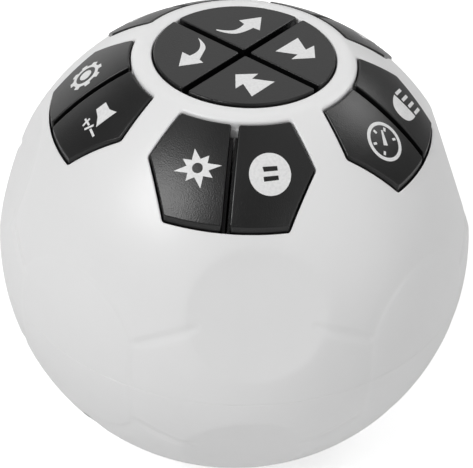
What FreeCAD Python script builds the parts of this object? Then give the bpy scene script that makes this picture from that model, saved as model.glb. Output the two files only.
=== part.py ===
import FreeCAD, Part
import math
import os

V = FreeCAD.Vector

# Ball and its two shells, in millimetres, with turns and tilts in degrees
ball_radius = 50.0
shell_wall = 2.4
collar_tilt = 24.5
base_tilt = 24.5
base_rounding = 0.8
ball_seam_turn = -50.0
collar_rounding = 1.6
opening_rounding = 0.4
lip_height = 2.0
lip_wall = 1.1
lip_root = 3.5
lip_clearance = 0.2

# Soft relief moulded into both shells: round flats, creases, seams and arches
relief_sides = 4
relief_turn = 8.8
flat_tilt = 68.1
flat_reach = 15.2
flat_wall = 1.6
flat_rounding = 6.0
crease_start_tilt = 71.0
crease_start_turn = 13.5
crease_end_tilt = 78.0
crease_end_turn = 27.2
crease_half_width = 1.7
crease_depth = 0.4
seam_steep_width = 0.7
seam_gentle_width = 2.5
seam_depth = 0.25
arch_top_tilt = 66.5
groove_overshoot = 1.6

# Five pairs of keys around the crown, each pair a hexagon with two round sides
pair_turns = {"front": 0.0, "right": 72.0, "rear_right": 144.0, "rear_left": 216.0, "left": 288.0}
pair_inner_tilt = 26.1
pair_inner_turn = 27.2
pair_side_tilt = 38.24
pair_side_turn = 29.7
pair_outer_tilt = 49.91
pair_outer_turn = 17.5
pair_split = 1.4
pair_inner_rise = 0.05
pair_outer_rise = 0.62
pair_ledge_gap = 0.4
pair_ledge_depth = 3.0
pair_stem_tilt = 36.3
pair_stem_aside = 7.0

# Four direction keys in the crown
crown_tilt = 21.1
crown_turn = 10.0
crown_split = 1.4
crown_rise = 0.5
crown_stem_out = 9.8

# What all the keys share
key_clearance = 0.3
key_travel = 1.2
key_wall = 1.4
key_cap = 1.8
key_edge_rounding = 0.3
key_corner_rounding = 0.5
flange_reach = 0.9
flange_thickness = 1.0
flange_clearance = 0.35
skirt_wall = 1.2
stem_radius = 2.4

# Rubber sheet of key domes, and the board that it lies on
dome_clearance = 0.1
dome_top_radius = 2.2
dome_foot_radius = 3.6
sheet_clearance = 0.3
sheet_thickness = 0.8
sheet_edge = 1.0
board_thickness = 1.6
board_edge = 0.4
post_count = 5
post_turn = 36.0
post_tilt = 42.53
post_radius = 2.4
part_clearance = 0.3

# Screws, each with a cross in its head, a cone at its end and some room past its end
thread_clearance = 0.05
screw_clearance = 0.25
screw_room = 0.5
head_rounding_share = 0.45
screw_point_share = 0.35
cross_length_share = 1.1
cross_width = 0.6
cross_depth = 0.9
shell_screw_radius = 1.45
shell_screw_head_radius = 2.6
shell_screw_head_height = 2.0
shell_screw_inset = 5.2
shell_screw_grip = 8.0
shell_screw_bite = 9.0
tower_wall = 1.3
boss_height = 13.0
boss_radius = 3.3
rib_width = 2.2
small_screw_radius = 0.95
small_screw_head_radius = 1.9
small_screw_head_height = 1.3
small_screw_bite = 4.5
door_screw_radius = 1.25
door_screw_head_radius = 2.4
door_screw_head_height = 1.6
door_screw_bite = 4.5
door_screw_seat = 2.4

# Battery well and its round door
cell_radius = 5.25
cell_length = 43.5
cell_nub_radius = 1.9
cell_nub_length = 1.0
cell_rounding = 0.5
cell_count = 3
cell_gap = 0.2
cell_floor_gap = 0.6
contact_thickness = 0.4
contact_width = 7.0
contact_height = 7.5
contact_tab_width = 2.4
contact_tab_rise = 3.5
spring_length = 3.2
spring_foot_radius = 3.2
spring_tip_radius = 1.8
spring_wire = 0.6
spring_gap = 0.1
well_wall = 1.4
well_gap = 0.25
floor_thickness = 1.5
floor_boss_radius = 2.8
floor_boss_height = 5.5
door_over_well = 0.33
door_clearance = 0.3
door_edge_depth = 1.68
door_screw_inset = 6.1
door_boss_radius = 4.2
hook_width = 8.0
hook_wall = 1.6
hook_reach = 1.3
hook_inset = 6.3

# Power switch in the lower shell, at the back
switch_over_floor = 4.45
switch_turn = 188.8
slider_width = 3.4
slider_height = 2.6
slider_travel = 3.0
slider_proud = 0.5
slider_shoulder = 0.4
slider_clearance = 0.35
switch_end_wall = 0.95
switch_side_wall = 0.6
switch_floor = 1.2
switch_depth = 3.4
switch_flange_edge = 0.1
switch_flange_thickness = 0.5
switch_seat_depth = 3.4
switch_post_radius = 1.7
switch_post_gap = 0.95
switch_screw_radius = 0.7
switch_screw_head_radius = 1.3
switch_screw_head_height = 0.8
switch_screw_clearance = 0.15
switch_screw_end_gap = 0.4

# Electronics on the underside of the board, with their places in plan
processor_place = V(-9.0, -6.0, 0)
processor_side = 9.0
processor_height = 1.2
radio_length = 15.0
radio_width = 10.0
radio_board = 0.8
radio_can_height = 1.6
radio_can_length = 9.5
radio_can_margin = 0.8
radio_out = 26.0
radio_turn = 70.0
sensor_side = 4.0
sensor_height = 1.0
sensor_place = V(0, -10.0, 0)
crystal_length = 10.0
crystal_radius = 1.6
crystal_shoulder_share = 1.2
crystal_gap = 3.9
crystal_turn = 90.0
capacitor_radius = 3.0
capacitor_height = 7.0
capacitor_rounding = 0.5
capacitor_gap = 5.0
capacitor_aside = 2.0
socket_length = 6.0
socket_width = 4.0
socket_height = 5.0
plug_height = 4.0
plug_wall = 0.7
battery_socket_place = V(0, 4.0, 0)
switch_socket_out = 17.0

# Leads, two beside each other, each of three straight runs joined by two arcs
lead_radius = 0.7
lead_spacing = 2.4
battery_lead_rise = 14.0
battery_lead_drop = 14.0
switch_lead_run = 12.0
switch_lead_drop = 16.0
lead_bend_share = 0.45

# Heights and distances that follow, measured from the ball's centre
inner_radius = ball_radius - shell_wall
collar_radius = ball_radius * math.sin(math.radians(collar_tilt))
collar_height = ball_radius * math.cos(math.radians(collar_tilt))
base_radius = ball_radius * math.sin(math.radians(base_tilt))
base_depth = ball_radius * math.cos(math.radians(base_tilt))
flat_radius = ball_radius * math.sin(math.radians(flat_reach))
flat_distance = ball_radius * math.cos(math.radians(flat_reach))
crown_radius = ball_radius * math.sin(math.radians(crown_tilt))
pair_inner_radius = ball_radius * math.sin(math.radians(pair_inner_tilt))
pair_side_radius = ball_radius * math.sin(math.radians(pair_side_tilt))
pair_outer_radius = ball_radius * math.sin(math.radians(pair_outer_tilt))
pair_stem_out = ball_radius * math.sin(math.radians(pair_stem_tilt))
post_out = ball_radius * math.sin(math.radians(post_tilt))
skirt_bottom = math.sqrt(inner_radius ** 2 - (pair_outer_radius + flange_reach) ** 2)
flange_top = skirt_bottom - flange_clearance
key_bottom = flange_top - flange_thickness
dome_top = key_bottom - dome_clearance
sheet_top = key_bottom - key_travel - sheet_clearance
board_top = sheet_top - sheet_thickness
board_bottom = board_top - board_thickness
plug_bottom = board_bottom - socket_height - plug_height
board_radius = post_out + post_radius + board_edge
sheet_radius = board_radius - sheet_edge

# The pairs' tops, round about a point below the ball's centre, so that they stand out most at their far side
inner_reach = ball_radius + pair_inner_rise
outer_reach = ball_radius + pair_outer_rise
inner_top = inner_reach * math.cos(math.radians(pair_inner_tilt))
outer_top = outer_reach * math.cos(math.radians(pair_outer_tilt))
pair_top_drop = (outer_reach ** 2 - inner_reach ** 2) / (2 * (inner_top - outer_top))
pair_top_radius = math.hypot(inner_reach * math.sin(math.radians(pair_inner_tilt)), inner_top + pair_top_drop)

# The battery well, its cells as low in the ball as the corners of the outer two allow
cell_pitch = 2 * cell_radius + cell_gap
cell_row = (cell_count - 1) / 2 * cell_pitch
well_half_length = (cell_length + cell_nub_length + spring_length) / 2 + contact_thickness + well_gap
well_half_width = cell_row + cell_radius + well_gap
cell_corner = math.sqrt((inner_radius - cell_floor_gap) ** 2 - well_half_length ** 2) - cell_radius
cell_height = -math.sqrt(cell_corner ** 2 - cell_row ** 2)
well_ceiling = cell_height + cell_radius + well_gap
contact_out = well_half_length - contact_thickness / 2
tab_top = well_ceiling + well_wall + contact_tab_rise

# The round door below the well, large enough to cover its corners
door_radius = math.hypot(well_half_length, well_half_width) + door_over_well
opening_radius = door_radius + door_clearance
door_screw_out = door_radius - door_screw_inset
hook_out = door_radius - hook_inset
floor_bottom = door_edge_depth - math.sqrt(ball_radius ** 2 - opening_radius ** 2)
floor_top = floor_bottom + floor_thickness
door_screw_head = floor_bottom - door_screw_seat
door_screw_length = door_screw_seat + floor_thickness + door_screw_bite
hook_top = floor_top + door_clearance + hook_wall

# Parts that stand beside others on the board
crystal_place = processor_place - V(processor_side / 2 + crystal_gap + crystal_radius, 0, 0)
capacitor_out = socket_length / 2 + capacitor_gap + capacitor_radius
capacitor_place = battery_socket_place + V(capacitor_out, capacitor_aside, 0)

# Screws
post_turns = [post_turn + 360.0 / post_count * k for k in range(post_count)]
shell_screw_turns = [relief_turn + 360.0 / relief_sides * (k + 0.5) for k in range(relief_sides)]
shell_screw_out = inner_radius - shell_screw_inset
shell_screw_length = shell_screw_grip + shell_screw_bite
board_screw_length = board_thickness + small_screw_bite
tower_radius = shell_screw_head_radius + screw_clearance + tower_wall

# The power switch, measured out from the ball's centre and along its slot
slot_length = slider_width + slider_travel + 2 * slider_clearance
slot_width = slider_height + 2 * slider_clearance
switch_seat = ball_radius - switch_seat_depth
switch_tilt = math.degrees(math.acos((floor_top + switch_over_floor) / switch_seat))
switch_flange_bottom = switch_seat - switch_flange_thickness
switch_bottom = switch_flange_bottom - switch_depth
switch_post_top = ball_radius - shell_wall / 2
switch_post_aside = slot_length / 2 + switch_post_gap + switch_post_radius
switch_flange_length = 2 * (switch_post_aside + switch_post_radius + switch_flange_edge)
switch_length = slot_length + 2 * switch_end_wall
switch_width = slot_width + 2 * (slider_shoulder + switch_side_wall)
switch_screw_length = switch_post_top - switch_flange_bottom - switch_screw_end_gap


def plan(radius, turn, height=0.0):
    """A point by its distance from the upright axis, its turn from -Y towards +X, and its height."""
    angle = math.radians(turn)
    return V(radius * math.sin(angle), -radius * math.cos(angle), height)


def direction(tilt, turn):
    """The direction from the ball's centre at a tilt from straight up and a turn from the front."""
    angle = math.radians(tilt)
    return plan(math.sin(angle), turn, math.cos(angle))


def outward(tilt, turn):
    """A placement at the ball's centre whose z axis points out at that tilt and turn, with x level."""
    return FreeCAD.Placement(V(), FreeCAD.Rotation(V(0, 0, 1), turn) * FreeCAD.Rotation(V(1, 0, 0), tilt))


def column(radius, bottom, top, at=V()):
    return Part.makeCylinder(radius, top - bottom, V(at.x, at.y, bottom))


def block(x_size, y_size, bottom, top, at=V()):
    return Part.makeBox(x_size, y_size, top - bottom, V(at.x - x_size / 2, at.y - y_size / 2, bottom))


def prism(outline, bottom, top):
    face = Part.Face(outline)
    face.translate(V(0, 0, bottom))
    return face.extrude(V(0, 0, top - bottom))


def turned(shape, turn):
    copy = shape.copy()
    copy.rotate(V(), V(0, 0, 1), turn)
    return copy


def placed(shape, placement):
    copy = shape.copy()
    copy.Placement = placement.multiply(copy.Placement)
    return copy


def upside_down(shape):
    return shape.mirror(V(), V(0, 0, 1))


def rounded_upright(shape, radius):
    """The shape with its upright edges rounded."""
    upright = []
    for edge in shape.Edges:
        if isinstance(edge.Curve, Part.Line) and abs(edge.tangentAt(edge.FirstParameter).z) > 0.999:
            upright.append(edge)
    return shape.makeFillet(radius, upright)


def middle(edge):
    return edge.valueAt((edge.FirstParameter + edge.LastParameter) / 2)


def upright_face(face):
    first, last, low, high = face.ParameterRange
    return abs(face.normalAt((first + last) / 2, (low + high) / 2).z) < 0.001


def rim_edges(shape, on_rim):
    """The edges of upright faces whose middle satisfies on_rim, each once."""
    found = {}
    for face in shape.Faces:
        if upright_face(face):
            for edge in face.Edges:
                if on_rim(middle(edge)):
                    found[edge.hashCode()] = edge
    return list(found.values())


def groove(start, end, pole, depth, width_to_pole, width_from_pole):
    """A V groove from start to end along the circle about the pole, with its own width on each side."""
    aside = (start - pole * start.dot(pole)).normalize()
    angle = math.acos(start.dot(pole))

    def point(width, height):
        swing = angle + width / ball_radius
        return (pole * math.cos(swing) + aside * math.sin(swing)) * (ball_radius + height)

    over = depth * (groove_overshoot - 1)
    bottom = point(0, -depth)
    far = point(width_from_pole * groove_overshoot, over)
    near = point(-width_to_pole * groove_overshoot, over)
    profile = Part.Face(Part.makePolygon([bottom, far, near, bottom]))
    along = end - pole * end.dot(pole)
    sweep = math.degrees(math.atan2(aside.cross(along).dot(pole), aside.dot(along)))
    return profile.revolve(V(), pole, sweep)


def relief_grooves(turn):
    """The creases, seams and arches between one side of the relief and the next, above and below."""
    panel_turn = turn + 180.0 / relief_sides
    next_turn = turn + 360.0 / relief_sides
    tools = []
    for side in (-1, 1):
        crease_start = direction(crease_start_tilt, turn + side * crease_start_turn)
        crease_end = direction(crease_end_tilt, turn + side * crease_end_turn)
        pole = crease_start.cross(crease_end).normalize()
        crease = groove(crease_start, crease_end, pole, crease_depth, crease_half_width, crease_half_width)
        seam_end = direction(180 - crease_end_tilt, turn + side * crease_end_turn)
        pole = crease_end.cross(seam_end).normalize()
        widths = (seam_steep_width, seam_gentle_width)[::side]
        tools += [crease, upside_down(crease), groove(crease_end, seam_end, pole, seam_depth, *widths)]
    arch_start = direction(crease_end_tilt, turn + crease_end_turn)
    arch_top = direction(arch_top_tilt, panel_turn)
    arch_end = direction(crease_end_tilt, next_turn - crease_end_turn)
    pole = (arch_start - arch_top).cross(arch_end - arch_top).normalize()
    if pole.z < 0:
        pole = pole * -1
    arch = groove(arch_start, arch_end, pole, seam_depth, seam_gentle_width, seam_steep_width)
    return tools + [arch, upside_down(arch)]


def flat_cutter(tilt, turn, distance):
    return placed(block(ball_radius, ball_radius, distance, 2 * ball_radius), outward(tilt, turn))


def relief_flats(distance):
    """Blocks that cut the round flats at a distance from the ball's centre."""
    blocks = []
    for side in range(relief_sides):
        turn = relief_turn + side * 360.0 / relief_sides
        blocks.append(flat_cutter(flat_tilt, turn, distance))
        blocks.append(flat_cutter(180 - flat_tilt, turn, distance))
    return blocks


def cut_ball(radius, top, bottom, flats):
    """A ball cut level above and below and by the round flats, with its own seam kept off every feature."""
    ball = turned(Part.makeSphere(radius), ball_seam_turn)
    width = 4 * radius
    ends = [block(width, width, top, width), block(width, width, -width, -bottom)]
    return ball.cut(ends + relief_flats(flats))


def circles_of(shape, radius, height=None):
    """The round edges of that radius, and at that height if one is given."""
    found = [e for e in shape.Edges if isinstance(e.Curve, Part.Circle)]
    found = [e for e in found if abs(e.Curve.Radius - radius) < 0.001]
    return [e for e in found if height is None or abs(middle(e).z - height) < 0.001]


def outer_ball():
    """The outside of the closed ball, with its collar, base and relief."""
    ball = cut_ball(ball_radius, collar_height, base_depth, flat_distance)
    ball = ball.makeFillet(collar_rounding, circles_of(ball, collar_radius, collar_height))
    ball = ball.makeFillet(base_rounding, circles_of(ball, base_radius, -base_depth))
    ball = ball.makeFillet(flat_rounding, circles_of(ball, flat_radius))
    tools = []
    for side in range(relief_sides):
        tools += relief_grooves(relief_turn + side * 360.0 / relief_sides)
    return ball.cut(tools)


def ball_core(share):
    """The ball with a share of the shell's wall taken off all round, less of it at the flats."""
    off = shell_wall * share
    flats = flat_distance - flat_wall * share
    return cut_ball(ball_radius - off, collar_height - off, base_depth - off, flats)


def moved_side(start, end, grow):
    """A straight side of the pairs' outline moved outwards, as a point on it and its direction."""
    along = (end - start).normalize()
    return start + V(-along.y, along.x, 0) * grow, along


def onto_circle(point, along, radius):
    """Where the line through a point meets the circle about the upright axis, nearest to the point."""
    half = point.dot(along)
    swing = math.sqrt(half ** 2 - point.dot(point) + radius ** 2)
    return point + along * min(-half - swing, -half + swing, key=abs)


def pair_outline(grow):
    """The plan outline of the front pair's opening, grown outwards with its corners kept sharp."""
    side = plan(pair_side_radius, pair_side_turn)
    near, near_way = moved_side(plan(pair_inner_radius, pair_inner_turn), side, grow)
    far, far_way = moved_side(side, plan(pair_outer_radius, pair_outer_turn), grow)
    share = (far - near).cross(far_way).z / near_way.cross(far_way).z
    right = [onto_circle(near, near_way, pair_inner_radius - grow), near + near_way * share]
    right.append(onto_circle(far, far_way, pair_outer_radius + grow))
    left = [V(-corner.x, corner.y, 0) for corner in right]
    return Part.Wire([
        Part.Arc(left[0], plan(pair_inner_radius - grow, 0), right[0]).toShape(),
        Part.makeLine(right[0], right[1]),
        Part.makeLine(right[1], right[2]),
        Part.Arc(right[2], plan(pair_outer_radius + grow, 0), left[2]).toShape(),
        Part.makeLine(left[2], left[1]),
        Part.makeLine(left[1], left[0]),
    ])


def around(shapes, turns):
    return [turned(shape, turn) for turn in turns for shape in shapes]


def screw_hole(radius, depth, at, bottom):
    """A screw's hole from just below a face to just past the screw's end."""
    return column(radius + thread_clearance, bottom - screw_room, bottom + depth + screw_room, at)


def screw(radius, head_radius, head_height, length):
    """A screw that points up, with the underside of its head at height 0 and a cross in the head."""
    head = column(head_radius, -head_height, 0)
    head = head.makeFillet(head_height * head_rounding_share, circles_of(head, head_radius, -head_height))
    shank = column(radius, 0, length - radius)
    point = Part.makeCone(radius, radius * screw_point_share, radius, V(0, 0, length - radius))
    cross = head_radius * cross_length_share
    floor = cross_depth - head_height
    slot = block(cross, cross_width, -2 * head_height, floor)
    return head.cut([slot, turned(slot, 90)]).fuse([shank, point]).removeSplitter()


def upper_shell():
    shell = outer_ball().common(block(4 * ball_radius, 4 * ball_radius, 0, 2 * ball_radius))
    shell = shell.cut(ball_core(1.0))
    skirts = around([prism(pair_outline(skirt_wall), skirt_bottom, ball_radius)], pair_turns.values())
    skirts.append(column(crown_radius + skirt_wall, skirt_bottom, ball_radius))
    posts = around([column(post_radius, board_top, ball_radius, plan(post_out, 0))], post_turns)
    boss = column(boss_radius, 0, boss_height, plan(shell_screw_out, 0))
    rib_length = ball_radius - shell_screw_out
    rib_place = plan(shell_screw_out + rib_length / 2, 0)
    rib = block(rib_width, rib_length, lip_height + lip_clearance, boss_height, rib_place)
    inner = around([boss, rib], shell_screw_turns)
    core = ball_core(0.5)
    shell = shell.fuse([piece.common(core) for piece in skirts + posts + inner])
    opening = prism(pair_outline(0), 0, 2 * ball_radius)
    opening = rounded_upright(opening, key_corner_rounding + key_clearance)
    cuts = around([opening], pair_turns.values()) + [column(crown_radius, 0, 2 * ball_radius)]
    board_hole = screw_hole(small_screw_radius, small_screw_bite, plan(post_out, 0), board_top)
    shell_hole = screw_hole(shell_screw_radius, shell_screw_bite, plan(shell_screw_out, 0), 0)
    cuts += around([board_hole], post_turns) + around([shell_hole], shell_screw_turns)
    shell = shell.cut(cuts)
    rims = rim_edges(shell, lambda p: abs(p.Length - ball_radius) < 0.01 and p.z > skirt_bottom)
    crown = rim_edges(shell, lambda p: abs(p.z - collar_height) < 0.001)
    return shell.makeFillet(opening_rounding, rims + crown)


def quadrant(gap):
    """The quarter of space in front of the upright axis, with a gap to the other quarters."""
    size = 2 * ball_radius
    return turned(Part.makeBox(size, size, 2 * size, V(gap, gap, -size)), -135.0)


def crown_key():
    top = collar_height + crown_rise
    radius = crown_radius - key_clearance
    body = column(radius, key_bottom, top).common(quadrant(crown_split / 2))
    body = rounded_upright(body, key_corner_rounding)
    flange = column(crown_radius + flange_reach, key_bottom, flange_top).common(quadrant(crown_split / 2))
    hollow = column(radius - key_wall, 0, top - key_cap).common(quadrant(crown_split / 2 + key_wall))
    stem = column(stem_radius, key_bottom, top - key_cap / 2, plan(crown_stem_out, 0))
    key = body.fuse(flange).cut(hollow).fuse(stem).removeSplitter()
    edges = [e for e in key.Edges if abs(middle(e).z - top) < 0.001]
    return key.makeFillet(key_edge_rounding, edges)


def key_half(side, gap):
    width = 2 * ball_radius
    return block(width, 2 * width, -width, width, V(side * (gap + width / 2), 0, 0))


def pair_top(depth):
    """A ball whose outside lies at a depth below the tops of the pairs' keys."""
    return Part.makeSphere(pair_top_radius - depth, V(0, 0, -pair_top_drop))


def pair_key(side):
    """The left (-1) or right (1) key of the front pair, with a ledge along the split that keeps dust out."""
    top = pair_top_radius
    half = key_half(side, pair_split / 2)
    body = prism(pair_outline(-key_clearance), key_bottom, top).common(half)
    body = rounded_upright(body, key_corner_rounding).common(pair_top(0))
    flange = prism(pair_outline(flange_reach), key_bottom, flange_top).common(half)
    hollow = prism(pair_outline(-key_clearance - key_wall), 0, top)
    hollow = hollow.common(key_half(side, pair_split / 2 + key_wall)).common(pair_top(key_cap))
    ledge = prism(pair_outline(-key_clearance), key_bottom, top).common(pair_top(pair_ledge_depth))
    ledge = ledge.common(key_half(side, pair_ledge_gap / 2))
    ledge = ledge.cut(key_half(side, pair_split / 2 + key_wall / 2))
    stem = column(stem_radius, key_bottom, top, V(side * pair_stem_aside, -pair_stem_out, 0))
    stem = stem.common(pair_top(key_cap / 2))
    key = body.fuse([flange, ledge]).cut(hollow).fuse(stem).removeSplitter()
    centre = V(0, 0, -pair_top_drop)
    edges = [e for e in key.Edges if abs((middle(e) - centre).Length - top) < 0.001]
    return key.makeFillet(key_edge_rounding, edges)


def stem_places():
    """The places in plan of the stems of all the keys."""
    places = [plan(crown_stem_out, crown_turn + 90.0 * k) for k in range(4)]
    for turn in pair_turns.values():
        about = FreeCAD.Rotation(V(0, 0, 1), turn)
        places += [about.multVec(V(side * pair_stem_aside, -pair_stem_out, 0)) for side in (-1, 1)]
    return places


def rubber_keypad():
    """The rubber sheet under all the keys, with a hollow dome under each stem."""
    rise = dome_top - sheet_top
    hollow_foot = dome_foot_radius - sheet_thickness
    hollow_top = dome_top_radius - sheet_thickness
    domes = []
    hollows = []
    for place in stem_places():
        domes.append(Part.makeCone(dome_foot_radius, dome_top_radius, rise, place + V(0, 0, sheet_top)))
        hollows.append(Part.makeCone(hollow_foot, hollow_top, rise, place + V(0, 0, board_top)))
    posts = around([column(post_radius + part_clearance, 0, ball_radius, plan(post_out, 0))], post_turns)
    return column(sheet_radius, board_top, sheet_top).fuse(domes).cut(hollows + posts)


def main_board():
    hole = column(small_screw_radius + screw_clearance, 0, ball_radius, plan(post_out, 0))
    return column(board_radius, board_bottom, board_top).cut(around([hole], post_turns))


def board_screws():
    one = screw(small_screw_radius, small_screw_head_radius, small_screw_head_height, board_screw_length)
    one.translate(plan(post_out, 0, board_bottom))
    return Part.makeCompound(around([one], post_turns))


def shell_screws():
    one = screw(shell_screw_radius, shell_screw_head_radius, shell_screw_head_height, shell_screw_length)
    one.translate(plan(shell_screw_out, 0, -shell_screw_grip))
    return Part.makeCompound(around([one], shell_screw_turns))


def well_block(grow, bottom, top):
    """A block of the battery well's plan size, grown on every side."""
    return block(2 * (well_half_length + grow), 2 * (well_half_width + grow), bottom, top)


def tab_places():
    """The places of the two end contacts, as the side along x and the cell's y."""
    return [(-1, -cell_row), (1, cell_row)]


def switch_place(shape):
    return placed(shape, outward(switch_tilt, switch_turn))


def lower_shell():
    shell = outer_ball().common(block(4 * ball_radius, 4 * ball_radius, -2 * ball_radius, 0))
    shell = shell.cut([ball_core(1.0), column(opening_radius, -2 * ball_radius, floor_bottom)])
    core = ball_core(0.5)
    floor = column(ball_radius, floor_bottom, floor_top).common(core)
    well = well_block(well_wall, floor_bottom, well_ceiling + well_wall).common(core)
    tower = column(tower_radius, -ball_radius, 0, plan(shell_screw_out, 0)).common(core)
    boss = column(floor_boss_radius, floor_bottom, floor_top + floor_boss_height, plan(door_screw_out, 0))
    root = column(ball_radius, -lip_root, 0).common(core)
    lip = column(inner_radius - lip_clearance, 0, lip_height).fuse(root)
    lip = lip.cut(column(inner_radius - lip_clearance - lip_wall, -lip_root, lip_height))
    posts = []
    for side in (-1, 1):
        post = column(switch_post_radius, switch_seat, ball_radius, V(side * switch_post_aside, 0, 0))
        posts.append(switch_place(post).common(core))
    shell = shell.fuse([floor, well, boss] + around([tower], shell_screw_turns) + posts)
    return shell.fuse(lip).cut(lower_shell_cuts())


def lower_shell_cuts():
    """The well's hollow, and the holes for the screws, the door's hook, the contacts' tabs and the slider."""
    cuts = [well_block(0, -ball_radius, well_ceiling)]
    place = plan(shell_screw_out, 0)
    sink = column(shell_screw_head_radius + screw_clearance, -ball_radius, -shell_screw_grip, place)
    hole = column(shell_screw_radius + screw_clearance, -ball_radius, lip_height, place)
    cuts += around([sink, hole], shell_screw_turns)
    depth = floor_thickness + door_screw_bite
    cuts.append(screw_hole(door_screw_radius, depth, plan(door_screw_out, 0), floor_bottom))
    slot = 2 * door_clearance + hook_wall + hook_reach
    place = V(0, hook_out + hook_wall / 2 + door_clearance - slot / 2, 0)
    width = hook_width + 2 * door_clearance
    cuts.append(block(width, slot, floor_bottom - well_wall, floor_top + well_wall, place))
    width = contact_tab_width + 2 * part_clearance
    for side, row in tab_places():
        place = V(side * contact_out, row, 0)
        cuts.append(block(contact_thickness + 2 * part_clearance, width, well_ceiling - well_wall, 0, place))
    cuts.append(switch_place(block(slot_length, slot_width, switch_bottom, 2 * ball_radius)))
    for side in (-1, 1):
        place = V(side * switch_post_aside, 0, 0)
        hole = column(switch_screw_radius + thread_clearance, switch_bottom, switch_post_top, place)
        cuts.append(switch_place(hole))
    return cuts


def battery_door():
    door = outer_ball().common(column(door_radius, -ball_radius, floor_bottom))
    door = door.cut(ball_core(1.0))
    place = plan(door_screw_out, 0)
    boss = column(door_boss_radius, -ball_radius, floor_bottom, place).common(ball_core(0.5))
    hook_place = V(0, hook_out, 0)
    tongue = block(hook_width, hook_wall, -ball_radius, hook_top, hook_place).common(ball_core(0.5))
    reach = hook_wall + hook_reach
    nose_place = V(0, hook_out + reach / 2 - hook_wall / 2, 0)
    nose = block(hook_width, reach, hook_top - hook_wall, hook_top, nose_place)
    cuts = [column(door_screw_head_radius + screw_clearance, -ball_radius, door_screw_head, place)]
    cuts.append(column(door_screw_radius + screw_clearance, -ball_radius, floor_top, place))
    return door.fuse([boss, tongue, nose]).cut(cuts).removeSplitter()


def door_screw():
    one = screw(door_screw_radius, door_screw_head_radius, door_screw_head_height, door_screw_length)
    one.translate(plan(door_screw_out, 0, door_screw_head))
    return one


def battery_cell(index):
    """One cell lying along x, every second one turned round."""
    body = column(cell_radius, 0, cell_length)
    body = body.makeFillet(cell_rounding, circles_of(body, cell_radius))
    cell = body.fuse(column(cell_nub_radius, cell_length, cell_length + cell_nub_length)).removeSplitter()
    cell.rotate(V(), V(0, 1, 0), -90)
    cell.translate(V(well_half_length - well_gap - contact_thickness - spring_length, 0, 0))
    if index % 2:
        cell.rotate(V(), V(0, 0, 1), 180)
    cell.translate(V(0, index * cell_pitch - cell_row, cell_height))
    return cell


def contact_plates():
    """The end plates of the cells: two that bridge neighbours, and two with a tab out of the well."""
    plates = []
    low = cell_height - contact_height / 2
    high = cell_height + contact_height / 2
    for side, row in tab_places():
        bridge_place = V(side * contact_out, -row / 2, 0)
        plates.append(block(contact_thickness, cell_pitch + contact_width, low, high, bridge_place))
        end_place = V(side * contact_out, row, 0)
        plate = block(contact_thickness, contact_width, low, high, end_place)
        tab = block(contact_thickness, contact_tab_width, cell_height, tab_top, end_place)
        plates.append(plate.fuse(tab).removeSplitter())
    return Part.makeCompound(plates)


def contact_springs():
    """The springs at the cells' flat ends, each a tapered sleeve as long as the pressed coil."""
    springs = []
    face = well_half_length - contact_thickness
    length = spring_length + well_gap - spring_gap
    for index in range(cell_count):
        outer = Part.makeCone(spring_foot_radius, spring_tip_radius, length)
        inner = Part.makeCone(spring_foot_radius - spring_wire, spring_tip_radius - spring_wire, length)
        spring = outer.cut(inner)
        side = -1 if index % 2 else 1
        spring.rotate(V(), V(0, 1, 0), -90 * side)
        spring.translate(V(side * face, index * cell_pitch - cell_row, cell_height))
        springs.append(spring)
    return Part.makeCompound(springs)


def power_switch():
    """The switch body under its flange, with the channel that the slider runs in."""
    flange = block(switch_flange_length, switch_width, switch_flange_bottom, switch_seat)
    body = block(switch_length, switch_width, switch_bottom, switch_flange_bottom)
    foot = switch_bottom + switch_floor
    cuts = [block(slot_length, slot_width, foot, ball_radius)]
    cuts.append(block(slot_length, slot_width + 2 * slider_shoulder, foot, switch_flange_bottom))
    for side in (-1, 1):
        radius = switch_screw_radius + switch_screw_clearance
        cuts.append(column(radius, switch_bottom, ball_radius, V(side * switch_post_aside, 0, 0)))
    return switch_place(flange.fuse(body).cut(cuts).removeSplitter())


def power_slider():
    """The slider in its off place, at one end of its channel."""
    place = V(-slider_travel / 2, 0, 0)
    foot = switch_bottom + switch_floor + slider_clearance
    shoulder = switch_flange_bottom - slider_clearance
    top = ball_radius + slider_proud
    knob = block(slider_width, slider_height, foot, top, place)
    knob = knob.makeFillet(key_edge_rounding, [e for e in knob.Edges if middle(e).z > top - 0.001])
    base = block(slider_width, slider_height + 2 * slider_shoulder, foot, shoulder, place)
    return switch_place(knob.fuse(base).removeSplitter())


def switch_screws():
    screws = []
    for side in (-1, 1):
        one = screw(
            switch_screw_radius, switch_screw_head_radius, switch_screw_head_height, switch_screw_length
        )
        one.translate(V(side * switch_post_aside, 0, switch_flange_bottom))
        screws.append(switch_place(one))
    return Part.makeCompound(screws)


def hung(shape, at, turn=0.0):
    """The shape under the main board, its top at the board, at a place in plan."""
    copy = turned(shape, turn)
    copy.translate(V(at.x, at.y, board_bottom))
    return copy


def processor():
    return hung(block(processor_side, processor_side, -processor_height, 0), processor_place)


def radio_module():
    """The radio's small board with its metal can on one end, leaving the aerial's end bare."""
    board = block(radio_length, radio_width, -radio_board, 0)
    place = V(radio_can_margin - (radio_length - radio_can_length) / 2, 0, 0)
    width = radio_width - 2 * radio_can_margin
    can = block(radio_can_length, width, -radio_board - radio_can_height, -radio_board, place)
    return hung(board.fuse(can), plan(radio_out, radio_turn), radio_turn)


def motion_sensor():
    return hung(block(sensor_side, sensor_side, -sensor_height, 0), sensor_place)


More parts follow.
